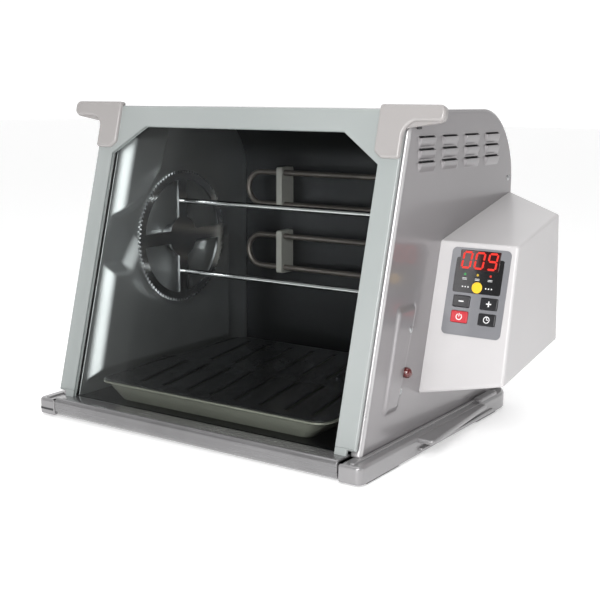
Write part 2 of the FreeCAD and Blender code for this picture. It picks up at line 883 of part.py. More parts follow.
def make_door_glass():
    """A flat tempered pane, narrower at its foot and narrower again between the hinge pins."""
    body = new_body("door_glass", door_frame(), LEAN)
    half, foot_half = size("door_half"), size("bar_half") - 0.2
    pin_half, above_pins = size("bar_half") - size("pin_grip") - 0.5, 19
    low, notch, top, corner = 8, 28.5, size("door_slant"), 6
    outline = [
        (pin_half, low),
        (pin_half, above_pins),
        (foot_half, above_pins),
        (foot_half, notch),
        (half, notch),
        (half, top - corner),
        (half - corner, top, corner),
        (corner - half, top),
        (-half, top - corner, corner),
        (-half, notch),
        (-foot_half, notch),
        (-foot_half, above_pins),
        (-pin_half, above_pins),
        (-pin_half, low),
    ]
    pad(body, "front", 0, size("glass_thick"), [outline])


def make_bottom_bar():
    """The door's bottom bar: rounded in front so that it can roll over, slotted above for the glass."""
    body = new_body("bottom_bar")
    half, depth, under, top = size("bar_half"), size("bar_depth"), size("bar_under"), size("bar_top")
    front_bend, nose, back_bend = 10, 4.2, 2
    outline = [
        (depth - back_bend, under),
        (depth, under + back_bend, back_bend),
        (depth, top - back_bend),
        (depth - back_bend, top, back_bend),
        (nose, top),
        (0, top - nose, nose),
        (0, under + front_bend),
        (front_bend, under, front_bend),
    ]
    pad(body, "side", -half, half, [outline])
    foot, across = size("door_foot"), size("glass_thick") / cosine(LEAN)
    slot_low, slot_high = 6, top + 2
    slot = [
        (slanted(foot, slot_low), slot_low),
        (slanted(foot, slot_low) + across, slot_low),
        (slanted(foot, slot_high) + across, slot_high),
        (slanted(foot, slot_high), slot_high),
    ]
    pocket(body, "side", -half - 1, half + 1, [slot])
    bore = (size("hinge_depth"), size("hinge_height"), size("hinge_radius") + SLIP)
    for side in SIDES.values():
        pocket(body, "side", *span(side, half - size("pin_grip"), half + 1), circles=[bore])


def make_hinge_pins():
    """A steel pin at each end of the bottom bar."""
    body = new_body("hinge_pins")
    pin_circle = (size("hinge_depth"), size("hinge_height"), size("hinge_radius"))
    inner, outer = size("bar_half") - size("pin_grip"), size("base_inner") + 10
    for side in SIDES.values():
        pad(body, "side", *span(side, inner, outer), circles=[pin_circle])


def make_bracket(name, side):
    """A corner bracket clasping the top corner of the glass, with an arm reaching out as a handle."""
    body = new_body(f"corner_bracket_{name}", door_frame(), LEAN)
    reach, top, edge = size("bracket_reach"), size("bracket_top"), size("door_half") + 0.5
    arm_low, leg_low, leg_inner, leg_cut, tip = 339.5, 303.5, 165, 8, 6
    scoop = 14
    outline = [
        (leg_inner + leg_cut, leg_low),
        (edge, leg_low),
        (edge, arm_low - scoop),
        (edge + scoop, arm_low, -scoop),
        (reach - tip, arm_low),
        (reach, arm_low + tip, tip),
        (reach, top - tip),
        (reach - tip, top, tip),
        (leg_inner, top),
        (leg_inner, leg_low + leg_cut * 0.8),
    ]
    thick, glass = size("bracket_thick"), size("glass_thick")
    pad(body, "front", -thick, 0, [outline if side > 0 else mirrored(outline)])
    edge_clear = size("door_half") + 0.1
    behind = [
        (edge_clear, arm_low - 6),
        (edge + scoop, arm_low),
        (reach - tip, arm_low),
        (reach, arm_low + tip, tip),
        (reach, top - tip),
        (reach - tip, top, tip),
        (leg_inner, top),
        (leg_inner, size("door_slant") + 0.1),
        (edge_clear, size("door_slant") + 0.1),
    ]
    pad(body, "front", 0, glass, [behind if side > 0 else mirrored(behind)])


def make_bracket_screws():
    """Flat screw heads behind the glass that hold the corner brackets."""
    body = new_body("bracket_screws", door_frame(), LEAN)
    glass = size("glass_thick")
    heads = [(side * 179, slope, 3.2) for side in SIDES.values() for slope in (318, 340)]
    pad(body, "front", glass, glass + 1.2, circles=heads)


# ---------------------------------------------------------------- control pod


def pod_frame():
    return (0, size("pod_foot"), 0)


KEY_WIDTH = 18
KEY_HEIGHT = 11.6
KEY_COLUMNS = (226.5, 256)
KEY_ROWS = (141, 156.6)
KEYS = {
    "key_off": (KEY_COLUMNS[0], KEY_ROWS[0]),
    "key_hours": (KEY_COLUMNS[1], KEY_ROWS[0]),
    "key_minus": (KEY_COLUMNS[0], KEY_ROWS[1]),
    "key_plus": (KEY_COLUMNS[1], KEY_ROWS[1]),
}
FUNCTION_KEY = (240.8, 171.4, 5.6)
LED_SIDES = (226.3, 239.9, 253.6)
LED_SLOPE = 183.9
WINDOW = (218.4, 188.3, 261.5, 208.2)


def key_outline(middle, spare=0):
    across, up = middle
    wide, tall = KEY_WIDTH / 2 + spare, KEY_HEIGHT / 2 + spare
    return round_box(across - wide, up - tall, across + wide, up + tall, 1.5)


def key_holes():
    """Outlines and circles of the holes for keys, lamps and display, shared by the housing and overlay."""
    gap = number(size("key_gap"))
    outlines = [key_outline(middle, gap) for middle in KEYS.values()]
    outlines.append(box(*WINDOW))
    circles = [(FUNCTION_KEY[0], FUNCTION_KEY[1], FUNCTION_KEY[2] + gap)]
    circles += [(across, LED_SLOPE, 1.3) for across in LED_SIDES]
    return outlines, circles


def pod_solid(body, inset):
    """The pod's outer form, or the same form drawn in on every face but the one against the oven."""
    wall_side, reach, foot = size("body_half"), size("pod_reach"), size("pod_foot")
    # Shifts that move each sloping face inwards by the inset.
    front_shift, roof_drop = 1.036 * inset, 1.025 * inset
    floor_rise, rear_shift = 1.04 * inset, -1.274 * inset
    low, high, back = 56.2 + 1.23 * inset, 208 - 0.79 * inset, 348
    front_foot = foot + front_shift
    roof_back, floor_back = 246.4 - roof_drop, 91.3 + floor_rise
    side_view = [
        (slanted(front_foot, low), low),
        (back, floor_back),
        (back, roof_back),
        (slanted(front_foot, high), high),
    ]
    start = wall_side - 1 if inset else wall_side
    pad(body, "side", start, reach - inset, [side_view])
    behind = [
        (reach + 8, 271.8 + rear_shift),
        (reach + 8, 400),
        (wall_side - 5, 400),
        (wall_side - 5, 352 + rear_shift),
    ]
    pocket(body, "top", 0, 300, [behind])
    beside = [
        (reach + 0.1 - inset, 56),
        (reach + 30, 56),
        (reach + 30, 260),
        (reach - 7 - inset, 260),
    ]
    pocket(body, "front", 100, 400, [beside])
    side_rise = 19.7
    below = [
        (wall_side - 2, low - 0.4),
        (wall_side - 2, -20),
        (reach + 8, -20),
        (reach + 8, low + side_rise),
    ]
    floor_slope = (floor_back - low) / (back - number(slanted(front_foot, low)))
    along = FreeCAD.Vector(0, 1, floor_slope)
    pocket(body, "front", number(slanted(front_foot, low)) - 0.01, 500, [below], along=along)


def make_pod_housing():
    """A one-piece cover: a leaning front, a rising roof and floor, and a back face cut off at a slant."""
    body = new_body("pod_housing")
    pod_solid(body, 0)
    wall_x = number(size("body_half"))
    soften(body, 3, lambda edge: edge.BoundBox.XMax > wall_x + 1)
    core = new_body("pod_core")
    pod_solid(core, DIMENSIONS["pod_wall"])
    core.Placement = FreeCAD.Placement()
    for path in ("Placement.Base.x", "Placement.Base.y", "Placement.Base.z"):
        core.setExpression(path, None)
    hollow = body.newObject("PartDesign::Boolean", "pod_housing_hollow")
    hollow.Type = "Cut"
    hollow.Group = [core]
    settle(hollow)
    pocket(body, "front", 0, 8, *key_holes(), lean_foot=size("pod_foot"))


def make_pod_back_cover():
    """A plate against the oven's side that closes the pod and carries its electronics."""
    body = new_body("pod_back_cover")
    start = size("body_half") + 0.1
    foot = size("pod_foot")
    outline = [
        (slanted(foot, 62) + 5, 66),
        (338, 100),
        (338, 238),
        (slanted(foot, 203) + 6, 203),
    ]
    pad(body, "side", start, start + 1.6, [outline], [(250, 150, 8)])


def make_keypad_overlay():
    body = new_body("keypad_overlay", pod_frame(), LEAN)
    outlines, circles = key_holes()
    outlines.append(round_box(209, 122.7, 272, 210.3, 5))
    pad(body, "front", -size("overlay_thick"), 0, outlines, circles)


def make_display():
    """The red display window, the digit module behind it and the three lamps under it."""
    proud = size("overlay_thick") + 0.3
    window = new_body("display_window", pod_frame(), LEAN)
    pad(window, "front", -proud, 1.5, [box(*WINDOW)])
    module = new_body("display_module", pod_frame(), LEAN)
    left, low, right, top = WINDOW
    block = box(left + 1, low + 1, right - 1, top - 1)
    pad(module, "front", size("pod_wall") + 0.3, size("board_depth"), [block])
    lamps = new_body("function_leds", pod_frame(), LEAN)
    dots = [(across, LED_SLOPE, 1.25) for across in LED_SIDES]
    pad(lamps, "front", -proud, size("board_depth"), circles=dots)


def make_keys():
    """Push keys with a stem each that reaches back towards its switch."""
    proud, stem_from, stem_to = size("key_proud"), 3.5, 5.6
    for name, middle in KEYS.items():
        body = new_body(name, pod_frame(), LEAN)
        pad(body, "front", -proud, stem_from, [key_outline(middle)])
        pad(body, "front", stem_from, stem_to, circles=[(*middle, 2)])
    body = new_body("key_function", pod_frame(), LEAN)
    pad(body, "front", -proud, stem_from, circles=[FUNCTION_KEY])
    pad(body, "front", stem_from, stem_to, circles=[(FUNCTION_KEY[0], FUNCTION_KEY[1], 2)])


def make_circuit_board():
    """The control board behind the pod's front, and a switch behind each key."""
    depth = size("board_depth")
    board = new_body("circuit_board", pod_frame(), LEAN)
    pad(board, "front", depth, depth + 1.6, [box(207, 126, 272, 207)])
    switches = new_body("key_switches", pod_frame(), LEAN)
    middles = [*KEYS.values(), FUNCTION_KEY[:2]]
    blocks = [box(across - 3, up - 3, across + 3, up + 3) for across, up in middles]
    pad(switches, "front", 6.7, depth, blocks)


def make_power_supply():
    """The transformer and the heater relay on the pod's back cover."""
    start = size("body_half") + 1.7
    transformer = new_body("transformer")
    pad(transformer, "side", start, start + 26, [round_box(270, 130, 308, 164, 2)])
    relay = new_body("heater_relay")
    pad(relay, "side", start, start + 18, [box(215, 175, 245, 193)])


# ---------------------------------------------------------------- all sub-parts

make_base_frame()
make_floor_pan()
make_foot_pads()
make_roof_and_back()
make_cord_gland()
make_reflector()
for side_name, side_sign in SIDES.items():
    make_side_panel(side_name, side_sign)
    make_liner(side_name, side_sign)
    make_spit_wheel(side_name, side_sign)
    make_hub(side_name, side_sign)
    make_hub_seat(side_name, side_sign)
    make_bracket(side_name, side_sign)
make_flange_screws()
make_panel_screws()
make_door_catches()
make_lamp()
for heater_name, (heater_low, heater_high) in HEATERS.items():
    make_heater(heater_name, heater_low, heater_high)
make_heater_supports()
make_drip_tray()
make_tray_grate()
make_spit_rods()
make_drive()
make_thermal_cutout()
make_door_glass()
make_bottom_bar()
make_hinge_pins()
make_bracket_screws()
make_pod_housing()
make_pod_back_cover()
make_keypad_overlay()
make_display()
make_keys()
make_circuit_board()
make_power_supply()
doc.recompute()

# ---------------------------------------------------------------- checks and export

for item in doc.Objects:
    if "Invalid" in item.State or "Error" in item.State:
        raise RuntimeError(f"{item.Label}: {item.State}")

kinds = ("PartDesign::Body", "Part::Feature")
sub_parts = [item for item in doc.Objects if item.TypeId in kinds and item.Label != "pod_core"]
os.makedirs("parts", exist_ok=True)
for part in sub_parts:
    if part.Shape.isNull() or not part.Shape.isValid():
        raise RuntimeError(f"{part.Label}: its shape is not valid")
    part.Shape.exportStep(f"parts/{part.Label}.step")
    extent = part.Shape.BoundBox
    print(
        f"{part.Label:22s} solids {len(part.Shape.Solids):2d}  volume {part.Shape.Volume / 1000:8.1f} cm3"
        f"  x {extent.XMin:7.1f} {extent.XMax:7.1f}  y {extent.YMin:7.1f} {extent.YMax:7.1f}"
        f"  z {extent.ZMin:6.1f} {extent.ZMax:6.1f}"
    )
print(len(sub_parts), "sub-parts")
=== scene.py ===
"""Looks of a rotisserie oven: detailed skins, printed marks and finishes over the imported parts."""

import math

import bmesh
import bpy
import numpy as np
from mathutils import Matrix, Vector


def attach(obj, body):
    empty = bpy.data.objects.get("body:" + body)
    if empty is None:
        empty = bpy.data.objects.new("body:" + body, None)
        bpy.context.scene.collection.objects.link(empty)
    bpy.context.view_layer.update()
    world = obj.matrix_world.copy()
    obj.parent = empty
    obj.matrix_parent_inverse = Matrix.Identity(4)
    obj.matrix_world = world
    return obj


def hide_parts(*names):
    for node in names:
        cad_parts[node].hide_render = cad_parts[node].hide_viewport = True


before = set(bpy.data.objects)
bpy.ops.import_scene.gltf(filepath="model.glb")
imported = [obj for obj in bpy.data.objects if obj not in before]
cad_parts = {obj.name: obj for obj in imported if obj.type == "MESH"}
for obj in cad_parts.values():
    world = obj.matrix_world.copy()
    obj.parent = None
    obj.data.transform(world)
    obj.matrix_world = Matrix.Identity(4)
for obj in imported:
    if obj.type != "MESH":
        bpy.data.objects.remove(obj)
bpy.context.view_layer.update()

# Outlines are written in millimetres: x from the middle of the cooking space, y from the door's front,
# z from the table. ORIGIN is the row frame's origin in those terms.
ORIGIN = np.array([24.2, 176.5, 0.0])
LEAN = math.radians(15.1)
DOOR_FOOT, FRONT_FOOT, POD_FOOT = 9.7, 17.7, 120.5
FRONT_SLOPE = math.tan(LEAN)

# The sheet-metal body: outer half width, lower edge, roof, back, and the radius between roof and back.
BODY_HALF, BODY_LOW = 194.5, 20.2
ROOF, BACK, BEND = 338.0, 350.5, 79.0


def settle(points):
    """Oven millimetres to row metres."""
    return (np.asarray(points, float) - ORIGIN) / 1000


def upright(points):
    """(x, y, z), for outlines drawn in plan."""
    return points


def facing_front(points):
    """(x, z, y) to (x, y, z)."""
    return points[..., [0, 2, 1]]


def sideways(points):
    """(y, z, x) to (x, y, z)."""
    return points[..., [2, 0, 1]]


def leaning(foot):
    """Maps (x, distance up the slope, depth behind the face) for a face that leans back from a foot."""

    def mapping(points):
        across, slope, depth = points[..., 0], points[..., 1], points[..., 2]
        back = foot + depth * math.cos(LEAN) + slope * math.sin(LEAN)
        up = slope * math.cos(LEAN) - depth * math.sin(LEAN)
        return np.stack([across, back, up], axis=-1)

    return mapping


DOOR_FACE = leaning(DOOR_FOOT)
POD_FACE = leaning(POD_FOOT)
FLANGE_FACE = leaning(FRONT_FOOT)


# ---------------------------------------------------------------- surfaces


def new_piece(name, points, faces, body, slot, look, replaced=(), solid=None, sharp=35, toward=None):
    """A mesh object in its final place. faces is a list of index lists; normals are made to face outwards,
    or along `toward` for an open sheet, before a Solidify of `solid` millimetres is added."""
    mesh = bpy.data.meshes.new(name)
    mesh.from_pydata(settle(points).reshape(-1, 3).tolist(), [], faces)
    made = bmesh.new()
    made.from_mesh(mesh)
    bmesh.ops.remove_doubles(made, verts=made.verts, dist=2e-6)
    bmesh.ops.recalc_face_normals(made, faces=made.faces)
    if toward is not None:
        facing = sum((face.normal * face.calc_area() for face in made.faces), Vector())
        if facing.dot(Vector(toward)) < 0:
            bmesh.ops.reverse_faces(made, faces=made.faces)
    made.to_mesh(mesh)
    made.free()
    mesh.polygons.foreach_set("use_smooth", np.ones(len(mesh.polygons), bool))
    mesh.set_sharp_from_angle(angle=math.radians(sharp))
    mesh.materials.append(look)
    piece = bpy.data.objects.new(name, mesh)
    bpy.context.scene.collection.objects.link(piece)
    if solid:
        thicken = piece.modifiers.new("thickness", "SOLIDIFY")
        thicken.thickness = solid / 1000
        thicken.offset = -1
    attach(piece, body)
    if replaced:
        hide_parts(*replaced)
    return piece


def ring_faces(rings, count, start):
    """Quads between neighbouring rings of `count` points, the first of which is point `start`."""
    along = np.arange(count)
    step = (along + 1) % count
    row = start + np.arange(rings - 1)[:, None] * count
    quads = np.stack([row + along, row + step, row + count + step, row + count + along], axis=-1)
    return quads.reshape(-1, 4).tolist()


def stack(groups):
    """Points and faces of several closed stacks. groups has the shape (stacks, rings, points, 3)."""
    groups = np.asarray(groups)
    stacks, rings, count = groups.shape[:3]
    faces = []
    for index in range(stacks):
        start = index * rings * count
        faces += ring_faces(rings, count, start)
        last = start + (rings - 1) * count
        faces += [list(range(first, first + count)) for first in (start, last)]
    return groups.reshape(-1, 3), faces


def grid_faces(rows, columns, kept=None):
    """Quads of a grid of points; `kept` is a mask over the cells, false where the sheet is open."""
    row, column = np.meshgrid(np.arange(rows - 1), np.arange(columns - 1), indexing="ij")
    corner = row * columns + column
    quads = np.stack([corner, corner + 1, corner + columns + 1, corner + columns], axis=-1)
    return (quads.reshape(-1, 4) if kept is None else quads[kept]).tolist()


def rounded(corners, steps=6):
    """A closed outline. Each corner is (a, b, radius), and a radius above zero turns it into an arc whose
    centre lies on the corner's bisector. A point where two arcs meet is kept once."""
    spots = np.array([corner[:2] for corner in corners], float)
    pieces = []
    for index, corner in enumerate(corners):
        here = spots[index]
        radius = corner[2] if len(corner) > 2 else 0
        if radius <= 0:
            pieces.append(here[None])
            continue
        before = spots[index - 1] - here
        after = spots[(index + 1) % len(spots)] - here
        before /= np.linalg.norm(before)
        after /= np.linalg.norm(after)
        half = math.acos(np.clip(before @ after, -1, 1)) / 2
        bisector = (before + after) / np.linalg.norm(before + after)
        centre = here + bisector * radius / math.sin(half)
        first = here + before * radius / math.tan(half) - centre
        last = here + after * radius / math.tan(half) - centre
        turn = math.pi - 2 * half
        share = np.linspace(0, 1, steps + 1)[:, None]
        arc = (np.sin((1 - share) * turn) * first + np.sin(share * turn) * last) / math.sin(turn)
        pieces.append(centre + arc)
    outline = np.concatenate(pieces)
    return outline[np.linalg.norm(outline - np.roll(outline, 1, axis=0), axis=1) > 1e-6]


def frame_box(left, low, right, top, radius=0, steps=6):
    corners = ((left, low), (right, low), (right, top), (left, top))
    return rounded([(*corner, radius) for corner in corners], steps)


def mirrored(outline):
    return (outline * [-1, 1])[::-1]


def circle(across, up, radius, count=48):
    turn = np.linspace(0, 2 * math.pi, count, endpoint=False)
    return np.stack([across + radius * np.cos(turn), up + radius * np.sin(turn)], axis=-1)


def inset(outline, distance):
    """The outline moved inwards: each point goes along the bisector of its two edges' inward normals."""
    after = np.roll(outline, -1, axis=0) - outline
    after = after / np.linalg.norm(after, axis=1, keepdims=True)
    before = np.roll(after, 1, axis=0)
    normal = np.stack([-(before + after)[:, 1], (before + after)[:, 0]], axis=-1)
    across = np.stack([-after[:, 1], after[:, 0]], axis=-1)
    reach = np.sum(normal * across, axis=1, keepdims=True)
    return outline + distance * normal / np.maximum(reach, 0.3)


def edge_profile(front, back, front_round, back_round, steps=5):
    """(inset, depth) pairs of a plate's edge: quarter rounds at both faces, with a close ring inside each
    face so that the flat stays flat."""
    turn = np.linspace(0, math.pi / 2, steps + 1)
    near = np.stack([front_round * (1 - np.sin(turn)), front + front_round * (1 - np.cos(turn))], axis=-1)
    far = np.stack([back_round * (1 - np.sin(turn)), back - back_round * (1 - np.cos(turn))], axis=-1)[::-1]
    first = [[front_round + 0.25, front]]
    last = [[back_round + 0.25, back]]
    return np.concatenate([first, near, far, last])


def plate_rings(outline, profile, mapping):
    rings = [np.concatenate([inset(outline, step), np.full((len(outline), 1), level)], axis=1)
             for step, level in profile]
    return mapping(np.array(rings))


def plate(name, outlines, front, back, rounding, mapping, **piece):
    """Plates with rounded edges between two depths, one for each outline; all have the same point count."""
    near, far = rounding if isinstance(rounding, tuple) else (rounding, rounding)
    profile = edge_profile(front, back, near, far)
    points, faces = stack([plate_rings(outline, profile, mapping) for outline in outlines])
    return new_piece(name, points, faces, **piece)


def smooth(value, low, high):
    """Rises from 0 at low to 1 at high with level ends."""
    share = np.clip((value - low) / (high - low), 0, 1)
    return share * share * (3 - 2 * share)


def inside_depth(across, up, corners):
    """Signed distance to a polygon: positive inside it, negative outside."""
    spots = np.array(corners, float)
    nearest = np.full(across.shape, 1e9)
    inside = np.zeros(across.shape, bool)
    for (x0, y0), (x1, y1) in zip(spots, np.roll(spots, -1, axis=0)):
        edge = np.array([x1 - x0, y1 - y0])
        share = np.clip(((across - x0) * edge[0] + (up - y0) * edge[1]) / (edge @ edge), 0, 1)
        nearest = np.minimum(nearest, np.hypot(across - x0 - share * edge[0], up - y0 - share * edge[1]))
        if y0 != y1:
            crosses = (y0 > up) != (y1 > up)
            inside ^= crosses & (across < (x1 - x0) * (up - y0) / (y1 - y0) + x0)
    return np.where(inside, nearest, -nearest)


# ---------------------------------------------------------------- finishes


class Field:
    """A shader socket with arithmetic on it."""

    def __init__(self, look, socket):
        self.look = look
        self.socket = socket

    def math(self, operation, *others):
        return self.look.add("ShaderNodeMath", [self, *others], operation=operation)

    def __add__(self, other):
        return self.math("ADD", other)

    __radd__ = __add__

    def __sub__(self, other):
        return self.math("SUBTRACT", other)

    def __rsub__(self, other):
        return self.look.add("ShaderNodeMath", [other, self], operation="SUBTRACT")

    def __mul__(self, other):
        return self.math("MULTIPLY", other)

    __rmul__ = __mul__

    def highest(self, other):
        return self.math("MAXIMUM", other)

    def size(self):
        return self.math("ABSOLUTE")

    def step(self, low, high):
        """0 below low and 1 above high."""
        return self.look.add("ShaderNodeMapRange", {"Value": self, "From Min": low, "From Max": high})


class Look:
    """A procedural material."""

    def __init__(self, name):
        self.material = bpy.data.materials.new(name)
        self.material.use_nodes = True
        self.tree = self.material.node_tree
        self.tree.nodes.clear()
        self.output = self.tree.nodes.new("ShaderNodeOutputMaterial")
        coordinates = self.tree.nodes.new("ShaderNodeTexCoord")
        self.place = Field(self, coordinates.outputs["Object"])

    def add(self, kind, values=(), output=0, **settings):
        """A node with its settings; values are numbers or fields by input name or place."""
        node = self.tree.nodes.new(kind)
        for key, value in settings.items():
            setattr(node, key, value)
        for key, value in values.items() if isinstance(values, dict) else enumerate(values):
            if isinstance(value, Field):
                self.tree.links.new(value.socket, node.inputs[key])
            else:
                node.inputs[key].default_value = value
        return Field(self, node.outputs[output])

    def axes(self):
        """The three object coordinates in oven millimetres."""
        moved = self.add("ShaderNodeVectorMath", [self.place, (1000, 1000, 1000), tuple(ORIGIN)],
                         operation="MULTIPLY_ADD")
        split = self.tree.nodes.new("ShaderNodeSeparateXYZ")
        self.tree.links.new(moved.socket, split.inputs[0])
        return [Field(self, split.outputs[index]) for index in range(3)]

    def noise(self, scale, stretch=(1, 1, 1), detail=3.0, rough=0.55):
        place = self.add("ShaderNodeMapping", {"Vector": self.place, "Scale": stretch})
        return self.add("ShaderNodeTexNoise",
                        {"Vector": place, "Scale": scale, "Detail": detail, "Roughness": rough})

    def mix(self, share, low, high):
        """A colour between two, by a field from 0 to 1."""
        return self.add("ShaderNodeMix", {0: share, 6: opaque(low), 7: opaque(high)}, output=2,
                        data_type="RGBA")

    def bump(self, height, strength, distance):
        return self.add("ShaderNodeBump", {"Height": height, "Strength": strength, "Distance": distance})

    def shader(self, **values):
        """The main shader; a keyword such as base_color is the socket Base Color."""
        named = {key.replace("_", " ").title(): value for key, value in values.items()}
        return self.add("ShaderNodeBsdfPrincipled", named)

    def finish(self, shader):
        self.tree.links.new(shader.socket, self.output.inputs["Surface"])
        return self.material


def opaque(colour):
    return colour if isinstance(colour, Field) else (*colour, 1.0)


def coating(name, colour, roughness, metallic=0.0, shade=0.12, patch=9.0, grain=900.0, relief=0.05,
            stretch=(1, 1, 1), coat=0.0, spread=0.06):
    """A finish with slow mottling of colour and gloss and a fine-grained surface."""
    look = Look(name)
    slow = look.noise(patch, detail=2.0)
    fine = look.noise(grain, stretch)
    dark = tuple(part * (1 - shade) for part in colour)
    light = tuple(min(part * (1 + shade), 1) for part in colour)
    tint = look.mix((slow * 0.75 + fine * 0.25).step(0.3, 0.7), dark, light)
    gloss = (slow * 0.5 + fine * 0.5 - 0.5) * (2 * spread) + roughness
    normal = look.bump(fine, relief, 0.0004)
    return look.finish(look.shader(base_color=tint, roughness=gloss, metallic=metallic, normal=normal,
                                   coat_weight=coat, coat_roughness=0.08))


def glass_pane():
    """Clear tempered glass with a pale printed border behind its surface."""
    look = Look("door_glass")
    side, depth, up = look.axes()
    slope = (depth - DOOR_FOOT) * math.sin(LEAN) + up * math.cos(LEAN)
    reach = side.size()
    corner = (slope * math.cos(LEAN) + reach * 0.686 - 404.1) * 0.82
    border = (reach - 170).highest(slope - 328.4).highest(corner)
    printed = border.step(-0.15, 0.15)
    cloud = look.noise(5.0, detail=2.0)
    frost = look.mix(cloud.step(0.3, 0.7), (0.314, 0.340, 0.334), (0.368, 0.390, 0.385))
    fleck = look.noise(1600.0)
    pale = look.shader(base_color=frost, roughness=fleck * 0.1 + 0.25, coat_weight=0.35,
                       coat_roughness=0.03)
    smear = look.noise(14.0, (1, 1, 3))
    shine = look.add("ShaderNodeBsdfGlossy", {"Color": (1, 1, 1, 1), "Roughness": smear * 0.03 + 0.01})
    through = look.add("ShaderNodeBsdfTransparent", {"Color": (0.965, 0.98, 0.973, 1)})
    fresnel = look.add("ShaderNodeFresnel", {"IOR": 1.5})
    clear = look.add("ShaderNodeMixShader", [fresnel * 0.06, through, shine])
    return look.finish(look.add("ShaderNodeMixShader", [printed * 0.84, clear, pale]))


def spectrum_lens():
    """The three small lamps: green, amber and red from left to right."""
    look = Look("lamp_lenses")
    side = look.axes()[0]
    cloud = look.noise(300.0)
    left = look.mix(side.step(233, 233.1), (0.02, 0.22, 0.05), (0.45, 0.30, 0.03))
    tint = look.mix(side.step(247, 247.1), left, (0.45, 0.03, 0.02))
    return look.finish(look.shader(base_color=tint, roughness=cloud * 0.1 + 0.15, emission_color=tint,
                                   emission_strength=0.15))


def painted_panel():
    """Semi-gloss grey paint with faint orange peel and a slow drift of tone."""
    look = Look("body_paint")
    slow = look.noise(3.0, detail=2.0)
    peel = look.noise(260.0, detail=2.0)
    tint = look.mix(slow.step(0.3, 0.7), (0.230, 0.218, 0.224), (0.262, 0.249, 0.256))
    gloss = (slow - 0.5) * 0.06 + 0.3
    return look.finish(look.shader(base_color=tint, roughness=gloss, metallic=0.35, coat_weight=0.6,
                                   coat_roughness=0.1, normal=look.bump(peel, 0.03, 0.0005)))


def polished_steel(name, tone, roughness, direction):
    """Bright rolled steel with fine lines along one direction and faint heat stains."""
    stained = tuple(part * 0.75 for part in tone)
    look = Look(name)
    lines = look.noise(140.0, direction, detail=4.0)
    stain = look.noise(7.0, detail=3.0)
    tint = look.mix(stain.step(0.35, 0.75), tone, stained)
    gloss = (lines - 0.5) * 0.12 + roughness
    return look.finish(look.shader(base_color=tint, roughness=gloss, metallic=1.0,
                                   normal=look.bump(lines, 0.04, 0.0003)))


LOOKS = {
    "base_plastic": coating("base_plastic", (0.265, 0.259, 0.264), 0.3, metallic=0.45, shade=0.07, coat=0.5,
                            relief=0.02, stretch=(0.15, 1, 1)),
    "rubber": coating("rubber", (0.02, 0.02, 0.021), 0.75, grain=500.0, relief=0.3),
    "body_paint": painted_panel(),
    "black_plastic": coating("black_plastic", (0.02, 0.02, 0.022), 0.42, shade=0.2),
    # The reflector steel's near-black tone is painted shade of the cooking space's ceiling and back.
    "reflector_steel": polished_steel("reflector_steel", (0.045, 0.045, 0.048), 0.34, (1, 12, 12)),
    "liner_steel": polished_steel("liner_steel", (0.50, 0.51, 0.52), 0.5, (12, 1, 12)),
    "gear_steel": coating("gear_steel", (0.55, 0.56, 0.57), 0.3, metallic=1.0, shade=0.15),
    "lamp_red": coating("lamp_red", (0.085, 0.006, 0.005), 0.1, shade=0.2, coat=1.0, relief=0.0),
    "heater_sheath": coating("heater_sheath", (0.16, 0.14, 0.13), 0.45, metallic=0.8, shade=0.25,
                             patch=20.0),
    "ceramic": coating("ceramic", (0.30, 0.29, 0.27), 0.5, shade=0.1),
    "tray_enamel": coating("tray_enamel", (0.235, 0.235, 0.20), 0.36, metallic=0.4, shade=0.1, relief=0.02,
                           coat=0.2),
    "grate_coating": coating("grate_coating", (0.004, 0.004, 0.0045), 0.28, shade=0.2, relief=0.0,
                              coat=0.1),
    "bush_bronze": coating("bush_bronze", (0.42, 0.27, 0.12), 0.35, metallic=1.0),
    "motor_can": coating("motor_can", (0.45, 0.45, 0.46), 0.4, metallic=1.0, shade=0.2),
    "pod_plastic": coating("pod_plastic", (0.53, 0.516, 0.519), 0.36, shade=0.03, coat=0.2, relief=0.02),
    "overlay_film": coating("overlay_film", (0.185, 0.187, 0.200), 0.32, shade=0.05, grain=1500.0,
                            coat=0.2),
    "display_window": coating("display_window", (0.030, 0.001, 0.001), 0.15, shade=0.15, coat=0.4,
                              relief=0.0),
    "led_lens": spectrum_lens(),
    "circuit_board": coating("circuit_board", (0.03, 0.14, 0.05), 0.4, shade=0.3, patch=120.0),
    "transformer_iron": coating("transformer_iron", (0.10, 0.10, 0.11), 0.55, metallic=0.7, shade=0.3,
                                patch=60.0),
    "glass": glass_pane(),
    "bracket_plastic": coating("bracket_plastic", (0.315, 0.300, 0.295), 0.32, shade=0.04, coat=0.25,
                               relief=0.02),
    "spit_chrome": coating("spit_chrome", (0.62, 0.62, 0.63), 0.16, metallic=1.0, shade=0.12, patch=25.0),
    "key_black": coating("key_black", (0.012, 0.012, 0.014), 0.3, shade=0.2, coat=0.3),
    "key_red": coating("key_red", (0.50, 0.010, 0.022), 0.36, shade=0.08, coat=0.3),
    "key_yellow": coating("key_yellow", (0.95, 0.55, 0.02), 0.3, shade=0.05, coat=0.3),
}
# Lighter paint for the front flanges: partly a lighter edge trim, partly a painted highlight along the
# rolled edge beside the door.
EDGE_TRIM_HIGHLIGHT_LOOK = coating("edge_trim_painted_highlight", (0.46, 0.45, 0.455), 0.3, metallic=0.35, shade=0.1, coat=0.6, patch=18.0,
                    grain=700.0, relief=0.03, stretch=(1, 1, 0.04), spread=0.1)
# A darker copy of the base plastic for the door's bottom bar: painted shade on the bar, with streaks along
# its length.
BAR_SHADED_LOOK = coating("bar_plastic_painted_shade", (0.165, 0.162, 0.166), 0.26, metallic=0.5, shade=0.16, coat=0.8,
                   patch=14.0, grain=500.0, relief=0.03, stretch=(0.02, 1, 1), spread=0.12)
WHITE_PRINT = coating("white_print", (0.80, 0.80, 0.80), 0.5, shade=0.05)
BLACK_PRINT = coating("black_print", (0.006, 0.006, 0.007), 0.22, shade=0.2, coat=0.3)


